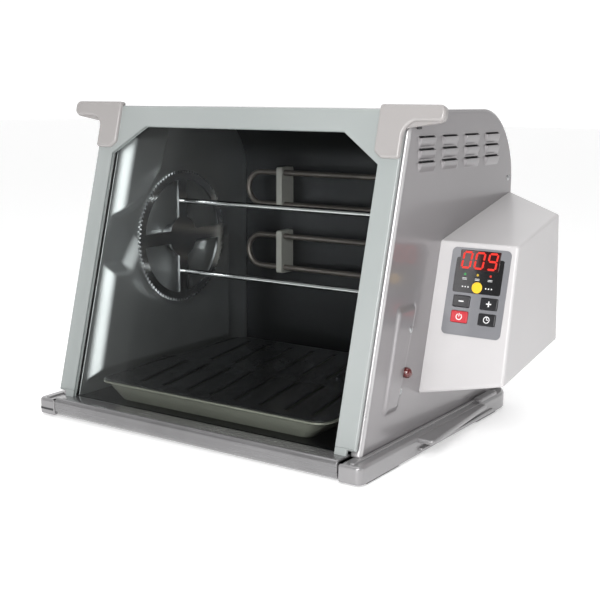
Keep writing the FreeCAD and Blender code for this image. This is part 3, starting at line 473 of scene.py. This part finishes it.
def glowing_digits():
    """Red figures that light up evenly behind their window."""
    look = Look("digit_glow")
    cloud = look.noise(700.0)
    tint = look.mix(cloud.step(0.3, 0.7), (0.55, 0.012, 0.006), (0.70, 0.022, 0.010))
    return look.finish(look.shader(base_color=tint, roughness=0.4, emission_color=tint,
                                   emission_strength=0.34))


DIGIT_GLOW = glowing_digits()

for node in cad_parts.values():
    for holder in node.material_slots:
        holder.material = LOOKS[holder.material.name.split(".")[0]]


# ---------------------------------------------------------------- sheet-metal body

RIM_ROUND, FRONT_ROUND, SHEET = 3.6, 4.2, 0.8
LOUVRES = ((121.5, 156.7), (171.3, 206.7), (222.0, 257.4), (272.8, 308.2))
LOUVRE_TOPS = (313.5, 301.5, 289.5)
LOUVRE_STAND, SCOOP_TOP, SCOOP_FOOT = 3.2, 1.2, 10.6
FIELD_STAND, FIELD_LOW, FIELD_HIGH, FIELD_EDGE = 2.9, 50.0, 153.0, 7.0


def panel_rows():
    """Heights of a side sheet's rows: close at the louvres, and even along the arc of the rear bend."""
    arc = ROOF - BEND + BEND * np.sin(np.linspace(0, math.pi / 2, 40))
    louvre_rows = np.arange(278, 316, 0.75)
    rows = np.concatenate([np.arange(BODY_LOW, ROOF - BEND, 2.0), louvre_rows, arc, [22, 24.5, 336, 337.2]])
    return np.unique(np.round(rows, 3))


def side_skin(name, side):
    """Side sheet over a grid of depth and height. Under each louvre's slit it stands out as a scoop that
    falls back to the face by the square of the drop. It rolls in at the rim by a quarter round, and on the
    right it has a raised slanting field, a smooth step of the distance inside the field's outline."""
    up = panel_rows()
    rim_steps = np.array([0, 0.0006, 0.0018, 0.0036, 0.006, 0.009, 0.0125])
    share = np.concatenate([rim_steps, np.linspace(0.016, 0.984, 200), 1 - rim_steps[::-1]])
    height, share = np.meshgrid(up, share, indexing="ij")
    front = FRONT_FOOT + FRONT_SLOPE * height + FRONT_ROUND
    over = np.clip(height - (ROOF - BEND), 0, BEND)
    rear = BACK - BEND + np.sqrt(BEND * BEND - over * over)
    depth = front + (rear - front) * share
    out = np.full(depth.shape, BODY_HALF)
    opened = np.zeros(depth.shape, bool)
    for near, far in LOUVRES:
        ends = smooth(depth, near - 0.4, near + 2.8) * smooth(-depth, -far - 0.4, -far + 2.8)
        for top in LOUVRE_TOPS:
            drop = top - height
            fall = (drop - SCOOP_TOP) / (SCOOP_FOOT - SCOOP_TOP)
            out += LOUVRE_STAND * np.where((fall > 0) & (fall < 1), 1 - fall ** 2, 0) * ends
            opened |= (drop > -0.2) & (drop < 1.9) & (depth > near + 1) & (depth < far - 1)
    if side > 0:
        low_front, high_front = (FRONT_FOOT + FRONT_SLOPE * level for level in (FIELD_LOW, FIELD_HIGH))
        field = [(low_front + 30 + FIELD_EDGE, FIELD_LOW + FIELD_EDGE),
                 (low_front + 62 - FIELD_EDGE, FIELD_LOW + FIELD_EDGE),
                 (high_front + 67 - FIELD_EDGE, FIELD_HIGH - FIELD_EDGE),
                 (high_front + 26 + FIELD_EDGE, FIELD_HIGH - FIELD_EDGE)]
        out += FIELD_STAND * smooth(inside_depth(depth, height, field), -FIELD_EDGE, 0)
    from_bend = BEND - np.hypot(np.maximum(depth - (BACK - BEND), 0), over)
    rim = np.minimum(rear - depth, np.where(height > ROOF - BEND, from_bend, 1e3))
    rim = np.minimum(rim, ROOF - height)
    rolled = np.clip(1 - rim / RIM_ROUND, 0, 1)
    out -= RIM_ROUND * (1 - np.sqrt(1 - rolled ** 2))
    points = np.stack([side * out, depth, height], axis=-1)
    cells = opened[:-1, :-1] & opened[1:, 1:]
    return new_piece(name, points.reshape(-1, 3), grid_faces(*depth.shape, ~cells), body="oven",
                     slot="body_paint", look=LOOKS["body_paint"], solid=SHEET, sharp=50,
                     toward=(side, 0, 0), replaced=[f"side_panel_{'right' if side > 0 else 'left'}"])


def front_flange(name, side):
    """The side sheet's flange behind the door: a strip bent in from the sheet by a small quarter round.
    Its lowest rows are open beside the door's bottom bar."""
    turn = np.linspace(0, math.pi / 2, 7)
    bend_across = BODY_HALF - FRONT_ROUND * (1 - np.cos(turn))
    bend_depth = FRONT_ROUND * (1 - np.sin(turn))
    across = np.concatenate([bend_across, [190.0, 184, 180, 173.4, 173.0]])
    behind = np.concatenate([bend_depth, [0, 0, 0, 0, 0.4]])
    slope = np.concatenate([[20.4, 22.0], np.linspace(24.5, 337, 60)]) / math.cos(LEAN)
    kept = np.ones((len(slope) - 1, len(across) - 1), bool)
    kept[:2, across[1:] < 183.9] = False
    slope, across = np.meshgrid(slope, side * across, indexing="ij")
    behind = np.broadcast_to(behind, across.shape)
    points = FLANGE_FACE(np.stack([across, slope, behind], axis=-1))
    # The flange's lighter look is partly a painted highlight on its rolled edge.
    return new_piece(name, points.reshape(-1, 3), grid_faces(*across.shape, kept), body="oven",
                     slot="body_paint", look=EDGE_TRIM_HIGHLIGHT_LOOK, solid=SHEET, sharp=50, toward=(0, -1, 0))


def roof_skin():
    """One sheet swept across the width: a flange facing the door, the roof, the bend and the back."""
    turn = np.linspace(0, math.pi / 2, 30)
    bend = np.stack([BACK - BEND + BEND * np.sin(turn), ROOF - BEND + BEND * np.cos(turn)], -1)
    front = FRONT_FOOT + FRONT_SLOPE * ROOF
    path = [(front - FRONT_SLOPE * 14, ROOF - 14), (front - FRONT_SLOPE * 2, ROOF - 2)]
    round_in = 1.7
    path += [(front - 0.5 + round_in * (1 - math.cos(angle)), ROOF - round_in + round_in * math.sin(angle))
             for angle in np.linspace(0.15, 1.3, 5)]
    path += [(front + 3, ROOF), (BACK - BEND - 40, ROOF)]
    path = np.concatenate([path, bend, [[BACK, 150], [BACK, BODY_LOW]]])
    across = np.concatenate([[-193.3, -192.9, -192], np.linspace(-170, 170, 24), [192, 192.9, 193.3]])
    dip = np.concatenate([[0.5, 0.1, 0], np.zeros(24), [0, 0.1, 0.5]])
    normal = np.gradient(path, axis=0)
    normal = np.stack([-normal[:, 1], normal[:, 0]], -1) / np.linalg.norm(normal, axis=1, keepdims=True)
    swept = path[:, None] - dip[None, :, None] * normal[:, None]
    across = np.broadcast_to(across[None, :, None], (*swept.shape[:2], 1))
    points = np.concatenate([across, swept], -1)
    return new_piece("roof_skin", points.reshape(-1, 3), grid_faces(*points.shape[:2]), body="oven",
                     slot="body_paint", look=LOOKS["body_paint"], solid=SHEET, sharp=50, toward=(0, 0, 1),
                     replaced=["roof_and_back"])


UPPER_BOSS = [(84.2, 217), (99, 215), (136, 227), (167, 260), (186, 314), (110.4, 314)]
LOWER_BOSS = [(39.4, 36), (296, 36), (296, 186), (199, 186), (183, 170), (167, 186), (122, 192), (99, 161),
              (70.7, 163)]
LINER_FACE, BOSS_STAND = 171.6, 11.4
SPIT_AXIS = (183, 186)


def liner_skin(name, side):
    """Inner side sheet over a grid of depth and height. Two pressed fields stand into the cooking space.
    Each rises from the sheet by a smooth step of the distance inside its outline, and the lower one is
    held back round the seat of the spit's hub."""
    up = np.linspace(21.2, 326, 205)
    share = np.linspace(0, 1, 225)
    height, share = np.meshgrid(up, share, indexing="ij")
    front = FRONT_FOOT + FRONT_SLOPE * height + 3
    over = np.clip(height - (ROOF - BEND), 0, BEND - 12)
    rear = BACK - BEND + np.sqrt((BEND - 12) ** 2 - over * over)
    depth = front + (rear - front) * share
    raised = np.zeros(depth.shape)
    for corners in (UPPER_BOSS, LOWER_BOSS):
        raised = np.maximum(raised, smooth(inside_depth(depth, height, corners), -3.0, 13.0))
    seat = np.hypot(depth - SPIT_AXIS[0], height - SPIT_AXIS[1])
    raised = np.where(height < 190, np.minimum(raised, smooth(seat, 16, 19)), raised)
    out = LINER_FACE - BOSS_STAND * raised
    points = np.stack([side * out, depth, height], axis=-1)
    return new_piece(name, points.reshape(-1, 3), grid_faces(*depth.shape), body="oven", slot="liner_steel",
                     look=LOOKS["liner_steel"], solid=0.7, sharp=60, toward=(-side, 0, 0),
                     replaced=[f"liner_{'right' if side > 0 else 'left'}"])


for side_name, sign in (("left", -1), ("right", 1)):
    side_skin(f"side_skin_{side_name}", sign)
    front_flange(f"front_flange_{side_name}", sign)
    liner_skin(f"liner_skin_{side_name}", sign)
roof_skin()


def screw_heads(name, places, radius, dome, mapping, replaced=()):
    """Domed heads with a cross recess. Each is a stack of rings about its own middle: the rim, a dome that
    falls with the square of the radius, and a star-shaped well whose radius is the lesser of the arm's
    length and its half width over the sine of the angle."""
    turn = np.linspace(0, 2 * math.pi, 48, endpoint=False)
    fold = (turn + math.pi / 4) % (math.pi / 2) - math.pi / 4
    arm, half_width = radius * 0.55, radius * 0.13
    star = np.minimum(arm / np.cos(fold), half_width / np.maximum(np.abs(np.sin(fold)), 0.06))
    share = np.linspace(1, 0.62, 7)
    rings = [(np.full(48, radius), 0.0), (np.full(48, radius), 0.35 * dome)]
    rings += [(np.full(48, radius * part), dome * (1.35 - part * part)) for part in share[1:]]
    rings += [(star * 1.03, dome * 1.02), (star, dome * 0.95), (star * 0.7, dome * 0.25)]
    local = np.array([np.stack([reach * np.cos(turn), reach * np.sin(turn), np.full(48, -level)], -1)
                      for reach, level in rings])
    places = np.array(places, float)
    groups = mapping(local[None] + places[:, None, None])
    points, faces = stack(groups)
    return new_piece(name, points, faces, body="oven", slot="gear_steel", look=LOOKS["gear_steel"],
                     replaced=replaced)


def indicator_dome():
    """The lamp's lens: rings from its foot up a short barrel and over a dome to the middle."""
    radius, rise, foot = 5.4, 5.2, BODY_HALF + 1
    profile = [(radius, 0.0), (radius, 1.6)]
    profile += [(radius * math.cos(angle), 2.6 + rise * math.sin(angle))
                for angle in np.linspace(0, math.pi / 2, 12)[:-1]]
    rings = [np.concatenate([circle(103.6, 86, reach), np.full((48, 1), foot + level)], axis=1)
             for reach, level in profile]
    points, faces = stack([sideways(np.array(rings))])
    return new_piece("indicator_dome", points, faces, body="oven", slot="lamp_red", look=LOOKS["lamp_red"],
                     replaced=["indicator_lens"], sharp=60)


indicator_dome()


def facing_right(points):
    """(y, z, depth into the panel) to (x, y, z) for heads on the right side."""
    return np.stack([-points[..., 2], points[..., 0], points[..., 1]], axis=-1)


def facing_left(points):
    return facing_right(points) * [-1, 1, 1]


REAR_SCREWS = [(338, 40, -194.4), (338, 262, -194.4)]
FIELD_SCREWS = [(111.0, 127.7, -197.2), (94.5, 69.1, -195.8)]
screw_heads("panel_screw_heads", FIELD_SCREWS + REAR_SCREWS, 3.2, 1.0, facing_right, ["panel_screws"])
screw_heads("left_screw_heads", REAR_SCREWS, 3.2, 1.0, facing_left)

flange_places = [(side * 178, slope, 0) for side in (-1, 1) for slope in (70, 184, 219.5, 300)]
screw_heads("flange_screw_heads", flange_places, 2.6, 0.8, FLANGE_FACE, ["flange_screws"])

# ---------------------------------------------------------------- base


def base_pieces():
    """The U of rails and back beam, the ledges beside the body, the lift wings and the rear blocks,
    each a plate with rounded edges. The slot in the left front corner is not cut: a thin black strip
    on its face is painted shade for the inside of the slot."""
    sides = {"body": "oven", "slot": "base_plastic", "look": LOOKS["base_plastic"]}
    rails = rounded([(208.75, 0.15, 7), (208.75, 350, 40), (-208.75, 350, 40), (-208.75, 0.15, 7),
                     (-184, 0.15, 1.5), (-184, 320, 4), (184, 320, 4), (184, 0.15, 1.5)], steps=12)
    plate("base_rails", [rails], 2.5, 20.0, (1.2, 3.2), upright, replaced=["base_frame"], **sides)
    ledge = frame_box(194.7, 3.5, 199.2, 318, 1.5)
    plate("base_ledges", [ledge, mirrored(ledge)], 19, 21.6, (0.1, 1.0), upright, **sides)
    wing = rounded([(205, 111, 1), (226, 111, 4), (213.75, 262, 3), (205, 262, 1)], steps=6)
    plate("lift_wings", [wing, mirrored(wing)], 14.6, 19.6, (1.6, 2.0), upright, **sides)
    skirt = rounded([(205, 113, 0.4), (212.6, 113, 2), (211, 286, 2), (205, 286, 0.4)], steps=6)
    plate("wing_skirts", [skirt, mirrored(skirt)], 5.5, 9.0, (1.0, 1.0), upright, **sides)
    block = rounded([(196.5, 262, 2), (206.3, 262, 2), (206.3, 305, 2), (196.5, 305, 2)], steps=6)
    plate("rear_blocks", [block, mirrored(block)], 19, 23.7, (0.1, 1.4), upright, **sides)
    # Painted shade: a thin black strip on the corner's face stands in for the dark inside of the slot.
    groove = frame_box(-204.5, 7.6, -185.5, 9.9, 0.4, steps=3)
    plate("corner_slot_painted_shade", [groove], 0, 1.0, 0.03, facing_front, body="oven", slot="black_plastic",
          look=LOOKS["black_plastic"])


base_pieces()

# ---------------------------------------------------------------- door

# The pane's foot is narrower than the pane, and steps round the hinge pins.
door_outline = rounded([(182.8, 28.5, 1.5), (192.5, 28.5, 1.5), (192.5, 351.5, 6), (-192.5, 351.5, 6),
                        (-192.5, 28.5, 1.5), (-182.8, 28.5, 1.5), (-182.8, 19), (-176.5, 19), (-176.5, 8),
                        (176.5, 8), (176.5, 19), (182.8, 19)])
plate("door_pane", [door_outline], 0, 4, (1.7, 0.9), DOOR_FACE, body="door", slot="glass",
      look=LOOKS["glass"], replaced=["door_glass"])

bar_outline = rounded([(24, 1.5, 2), (24, 22.3, 2), (0, 22.3, 5), (0, 1.5, 10)], steps=10)
# The bar's darker copy of the base plastic is painted shade.
plate("door_bar", [bar_outline], -183, 183, 1.2, sideways, body="door", slot="base_plastic",
      look=BAR_SHADED_LOOK, replaced=["bottom_bar"])


def corner_bracket(name, side):
    """Front plate and the part behind it, each a plate with rounded edges."""
    front = rounded([(173, 303.5, 3.5), (193, 303.5, 3.5), (193, 339.5, 14), (234, 339.5, 6),
                     (234, 355.2, 6), (165, 355.2, 3.2), (165, 309.9, 3.5)], steps=8)
    behind = rounded([(192.7, 333, 1), (234, 339.5, 6), (234, 355.2, 6), (165, 355.2, 1), (165, 351.7, 0.3),
                      (192.7, 351.7, 0.3)], steps=8)
    sides = {"body": "door", "slot": "bracket_plastic", "look": LOOKS["bracket_plastic"]}
    pair = [front, behind] if side > 0 else [mirrored(front), mirrored(behind)]
    plate(f"{name}_front", [pair[0]], -4, 0.2, (2.6, 0.1), DOOR_FACE, replaced=[name], **sides)
    plate(f"{name}_behind", [pair[1]], 0, 4, (0.1, 1.4), DOOR_FACE, **sides)


corner_bracket("corner_bracket_left", -1)
corner_bracket("corner_bracket_right", 1)

# ---------------------------------------------------------------- tray


def tray_pan():
    """The drip tray as rings that follow its rounded rectangle: out along the floor, up the flared wall,
    over a rolled rim and back down the outside."""
    roll = np.linspace(math.pi, -math.pi / 2, 10)
    profile = [(60, 22.6), (29.6, 22.6), (27.6, 22.8), (26.2, 23.6), (7.0, 40.4), (6.2, 41.3)]
    profile += [(4.6, 42.0), (2.0, 42.1)]
    profile += [(1.0 + 0.9 * math.cos(angle), 41.2 + 0.9 * math.sin(angle)) for angle in roll[3:]]
    profile += [(4.0, 40.9), (24.6, 22.0), (26.0, 21.4), (60, 21.4)]
    rings = []
    for distance, level in profile:
        radius = max(18 - distance * 0.35, 6)
        slack = max(distance - 5, 0) / 20
        ring = frame_box(-150 + distance, 31 + distance - slack * 13, 150 - distance,
                         300 - distance + slack * 8, radius, steps=10)
        rings.append(np.concatenate([ring, np.full((len(ring), 1), level)], axis=1))
    points, faces = stack([rings])
    return new_piece("drip_tray_pan", points, faces, body="oven", slot="tray_enamel",
                     look=LOOKS["tray_enamel"], replaced=["drip_tray"], sharp=40)


def grate_sheet():
    """The grate over a grid whose columns lean with its slots. The sheet dips beside each slot by a bell of
    the distance from the slot's edge, and its rim turns down."""
    pitch, width, slant = 32.0, 3.2, -0.21
    rim = np.array([-148, -147.4, -146.5, -145, -143.0])
    feet = (np.arange(8) - 3.5) * pitch + 10
    around = np.array([-4.5, -2.6, -1.4, -0.6, 0, 0.8, 1.6, 2.4, 3.2, 3.8, 4.6, 5.8, 7.7])
    beside_slots = (feet[:, None] + around).ravel()
    columns = np.concatenate([rim, beside_slots, -rim[::-1], np.linspace(-138, 138, 47)])
    columns = np.unique(np.round(columns[np.abs(columns) <= 148], 2))
    slot_ends = [49.5, 51, 52, 53, 151, 152, 153, 175, 176, 177, 275, 276, 277]
    rows = np.unique(np.concatenate([[33, 33.6, 34.5, 36, 38], np.linspace(40, 291, 84),
                                     [293, 295, 296.5, 297.4, 298], slot_ends]))
    back, column = np.meshgrid(rows, columns, indexing="ij")
    first, second = np.clip(back - 52, 0, 100), np.clip(back - 176, 0, 100)
    settle_first = smooth(back, 152, 176)
    shift = slant * (first * (1 - settle_first) + second * (1 - smooth(back, 276, 296)))
    side = column + shift * smooth(148 - np.abs(column), 0, 12)
    corner = np.maximum(np.maximum(49 - back, back - 282), 0)
    side *= (132 + np.sqrt(np.maximum(256 - corner * corner, 0))) / 148
    slot_gap = np.full(column.shape, 99.0)
    opened = np.zeros(column.shape, bool)
    for near, far in ((52, 152), (176, 276)):
        beyond = np.maximum(near - back, back - far)
        for foot in feet:
            aside = np.abs(column - foot - width / 2) - width / 2
            slot_gap = np.minimum(slot_gap, np.hypot(np.maximum(aside, 0), np.maximum(beyond, 0)))
            opened |= (aside < 0.01) & (beyond < 0.01)
    edge = np.minimum(np.minimum(column + 148, 148 - column), np.minimum(back - 33, 298 - back))
    level = 43.7 - 1.0 * np.exp(-((slot_gap / 1.3) ** 2)) - 0.9 * np.exp(-((edge / 1.0) ** 2))
    cells = opened[:-1, :-1] & opened[1:, 1:]
    points = np.stack([side, back, level], axis=-1)
    return new_piece("tray_grate_sheet", points.reshape(-1, 3), grid_faces(*column.shape, ~cells),
                     body="oven", slot="grate_coating", look=LOOKS["grate_coating"],
                     replaced=["tray_grate"], solid=0.6, sharp=60, toward=(0, 0, 1))


tray_pan()
grate_sheet()

# ---------------------------------------------------------------- control pod

KEYS = {
    "key_off": ("key_red", (226.5, 141.0)),
    "key_hours": ("key_black", (256.0, 141.0)),
    "key_minus": ("key_black", (226.5, 156.6)),
    "key_plus": ("key_black", (256.0, 156.6)),
}
ROUND_KEY = (240.8, 171.4)
KEY_FACE = -1.8
for key_name, (key_slot, (across, up)) in KEYS.items():
    outline = frame_box(across - 9, up - 5.8, across + 9, up + 5.8, 1.6, steps=6)
    plate(f"{key_name}_cap", [outline], KEY_FACE, 3.5, (0.7, 0.1), POD_FACE, body=key_name, slot=key_slot,
          look=LOOKS[key_slot], replaced=[key_name])
plate("key_function_cap", [circle(*ROUND_KEY, 5.6)], KEY_FACE, 3.5, (0.9, 0.1), POD_FACE,
      body="key_function", slot="key_yellow", look=LOOKS["key_yellow"], replaced=["key_function"])


def bar(across, up, wide, tall):
    return frame_box(across - wide / 2, up - tall / 2, across + wide / 2, up + tall / 2, 0.25, steps=3)


def arc_band(across, up, radius, width, gap):
    """A ring of the given width, open by a gap of degrees at its top when the gap is above zero."""
    start = math.radians(90 + gap / 2)
    turn = np.linspace(start, start + math.radians(360 - gap), 56, endpoint=gap > 0)
    around = np.stack([np.cos(turn), np.sin(turn)], -1)
    outer, inner = ((across, up) + (radius + shift) * around for shift in (width / 2, -width / 2))
    return np.concatenate([outer, inner[::-1]])


def printed(name, outlines, face, body, slot, look, thick=0.14):
    """Marks that stand a little proud of a face of the pod."""
    return plate(name, outlines, face - thick, face + 0.3, 0.04, POD_FACE, body=body, slot=slot, look=look)


marks = {"slot": "overlay_film", "look": WHITE_PRINT}
printed("mark_minus", [bar(226.5, 156.6, 5.5, 1.2)], KEY_FACE, "key_minus", **marks)
plus = [(0.6, 0.6), (0.6, 2.75), (-0.6, 2.75), (-0.6, 0.6), (-2.75, 0.6), (-2.75, -0.6), (-0.6, -0.6),
        (-0.6, -2.75), (0.6, -2.75), (0.6, -0.6), (2.75, -0.6), (2.75, 0.6), (1.4, 0.6)]
printed("mark_plus", [np.array(plus) + [256, 156.6]], KEY_FACE, "key_plus", **marks)
printed("mark_power_ring", [arc_band(226.5, 141, 2.9, 0.9, 60)], KEY_FACE, "key_off", **marks)
printed("mark_power_bar", [bar(226.5, 142.9, 0.9, 3.4)], KEY_FACE, "key_off", **marks)
printed("mark_clock_ring", [arc_band(256, 141, 3.0, 0.8, 0.5)], KEY_FACE, "key_hours", **marks)
hands = [bar(256, 142.1, 0.7, 2.6), bar(256.8, 141, 2.2, 0.7)]
printed("mark_clock_hands", hands, KEY_FACE, "key_hours", **marks)

field = rounded([(215, 165.4, 2), (266, 165.4, 2), (266, 200.4, 2), (215, 200.4, 2)], steps=6)
printed("display_field", [field], -0.8, "oven", "overlay_film", BLACK_PRINT)
LAMPS = (226.3, 239.9, 253.6)
ticks = [bar(side + shift, 180.0 + rise, 5.0, 0.5) for side in LAMPS for shift, rise in ((0, 0), (0, -1.3))]
FIELD_FRONT = -0.94
printed("lamp_marks", ticks, FIELD_FRONT, "oven", **marks)
dots = [circle(ROUND_KEY[0] + side * reach, ROUND_KEY[1], 0.75, 16)
        for side in (-1, 1) for reach in (9.5, 12.5, 15.5)]
printed("function_marks", dots, FIELD_FRONT, "oven", **marks)
window_outline = frame_box(218.6, 188.5, 261.3, 208.0, 0.8, steps=4)
plate("display_pane", [window_outline], -1.1, 1.4, (0.3, 0.1), POD_FACE, body="oven", slot="display_window",
      look=LOOKS["display_window"], replaced=["display_window"])

# Each bar's place in half widths and quarter heights, and whether it stands upright.
SEGMENTS = {"a": (0, 2, False), "b": (1, 1, True), "c": (1, -1, True), "d": (0, -2, False),
            "e": (-1, -1, True), "f": (-1, 1, True), "g": (0, 0, False)}
DIGITS = {"0": "abcdef", "9": "abcdfg"}


def digit_segments(text, left, middle, pitch, wide, tall):
    """Six-cornered bars of seven-segment figures, sheared to the right with height."""
    level = np.array([(-1, 0), (-0.78, -0.5), (0.78, -0.5), (1, 0), (0.78, 0.5), (-0.78, 0.5)])
    standing = level[:, ::-1] * [-1, 1]
    outlines = []
    for index, letter in enumerate(text):
        for name in DIGITS[letter]:
            aside, rise, turned = SEGMENTS[name]
            stroke, gap = 2.0, 0.4
            shape = standing * [stroke, tall / 4 - gap] if turned else level * [wide / 2 - gap, stroke]
            spot = shape + [aside * wide / 2, rise * tall / 4]
            spot = spot + np.stack([spot[:, 1] * 0.09, np.zeros(6)], axis=-1)
            outlines.append(spot + [left + index * pitch, middle])
    return outlines


printed("display_digits", digit_segments("009", 226.3, 198.2, 13.6, 8.6, 15.6), -1.1, "oven",
        "display_window", DIGIT_GLOW, thick=0.08)

# ---------------------------------------------------------------- studio


def area_light(name, at, target, wide, tall, power):
    data = bpy.data.lights.new(name, "AREA")
    data.shape = "RECTANGLE"
    data.size, data.size_y = wide, tall
    data.energy = power
    light = bpy.data.objects.new(name, data)
    light.location = at
    light.rotation_euler = (Vector(target) - Vector(at)).to_track_quat("-Z", "Y").to_euler()
    bpy.context.scene.collection.objects.link(light)


def studio_floor_look():
    """Pale floor that glows a little, so that it meets the white surroundings without an edge."""
    look = Look("studio_floor")
    cloud = look.noise(2.0)
    tint = look.mix(cloud, (0.86, 0.86, 0.86), (0.88, 0.88, 0.88))
    return look.finish(look.shader(base_color=tint, roughness=0.6, emission_color=(1, 1, 1, 1),
                                   emission_strength=0.42))


floor_mesh = bpy.data.meshes.new("studio_floor")
floor_mesh.from_pydata([(-12, -12, 0), (12, -12, 0), (12, 12, 0), (-12, 12, 0)], [], [(0, 1, 2, 3)])
floor_mesh.materials.append(studio_floor_look())
studio_floor = bpy.data.objects.new("studio_floor", floor_mesh)
bpy.context.scene.collection.objects.link(studio_floor)

# The surroundings are white beyond the oven on the left, and dimmer towards the front right.
world = bpy.data.worlds.new("studio")
world.use_nodes = True
bpy.context.scene.world = world
sky = world.node_tree
direction = sky.nodes.new("ShaderNodeTexCoord")
along_view = sky.nodes.new("ShaderNodeVectorMath")
along_view.operation = "DOT_PRODUCT"
along_view.inputs[1].default_value = (-0.75, 0.66, 0.0)
brightness = sky.nodes.new("ShaderNodeMapRange")
brightness.inputs["From Min"].default_value = -0.2
brightness.inputs["From Max"].default_value = 0.85
brightness.inputs["To Min"].default_value = 0.30
brightness.inputs["To Max"].default_value = 1.1
sky.links.new(direction.outputs["Generated"], along_view.inputs[0])
sky.links.new(along_view.outputs["Value"], brightness.inputs["Value"])
sky.links.new(brightness.outputs["Result"], sky.nodes["Background"].inputs["Strength"])
sky.nodes["Background"].inputs["Color"].default_value = (1, 1, 1, 1)

area_light("key_light", (0.50, -1.0, 0.60), (0.14, 0, 0.15), 0.45, 0.45, 8.8)
area_light("low_light", (0.25, -1.3, 0.22), (-0.02, 0, 0.1), 0.7, 0.3, 4)
area_light("edge_light", (1.2, -0.05, 0.25), (0.2, 0.1, 0.1), 0.12, 0.6, 1.1)
area_light("top_light", (0.0, -0.2, 1.7), (0, 0, 0), 1.4, 1.0, 7)

camera_data = bpy.data.cameras.new("camera")
camera_data.sensor_width = 36
camera_data.lens = 65.28
camera = bpy.data.objects.new("camera", camera_data)
turn, tilt, roll = math.radians(33.86), math.radians(10.55), math.radians(0.3527)
back = Vector((math.sin(turn) * math.cos(tilt), -math.cos(turn) * math.cos(tilt), math.sin(tilt)))
right = (-back).cross(Vector((0, 0, 1))).normalized()
above = right.cross(-back)
right, above = (right * math.cos(roll) + above * math.sin(roll),
                above * math.cos(roll) - right * math.sin(roll))
aim = Matrix((right, above, back)).transposed().to_4x4()
camera.matrix_world = Matrix.Translation((0.66023, -0.98586, 0.34909)) @ aim
bpy.context.scene.collection.objects.link(camera)
bpy.context.scene.camera = camera
bpy.context.scene.view_settings.view_transform = "Standard"
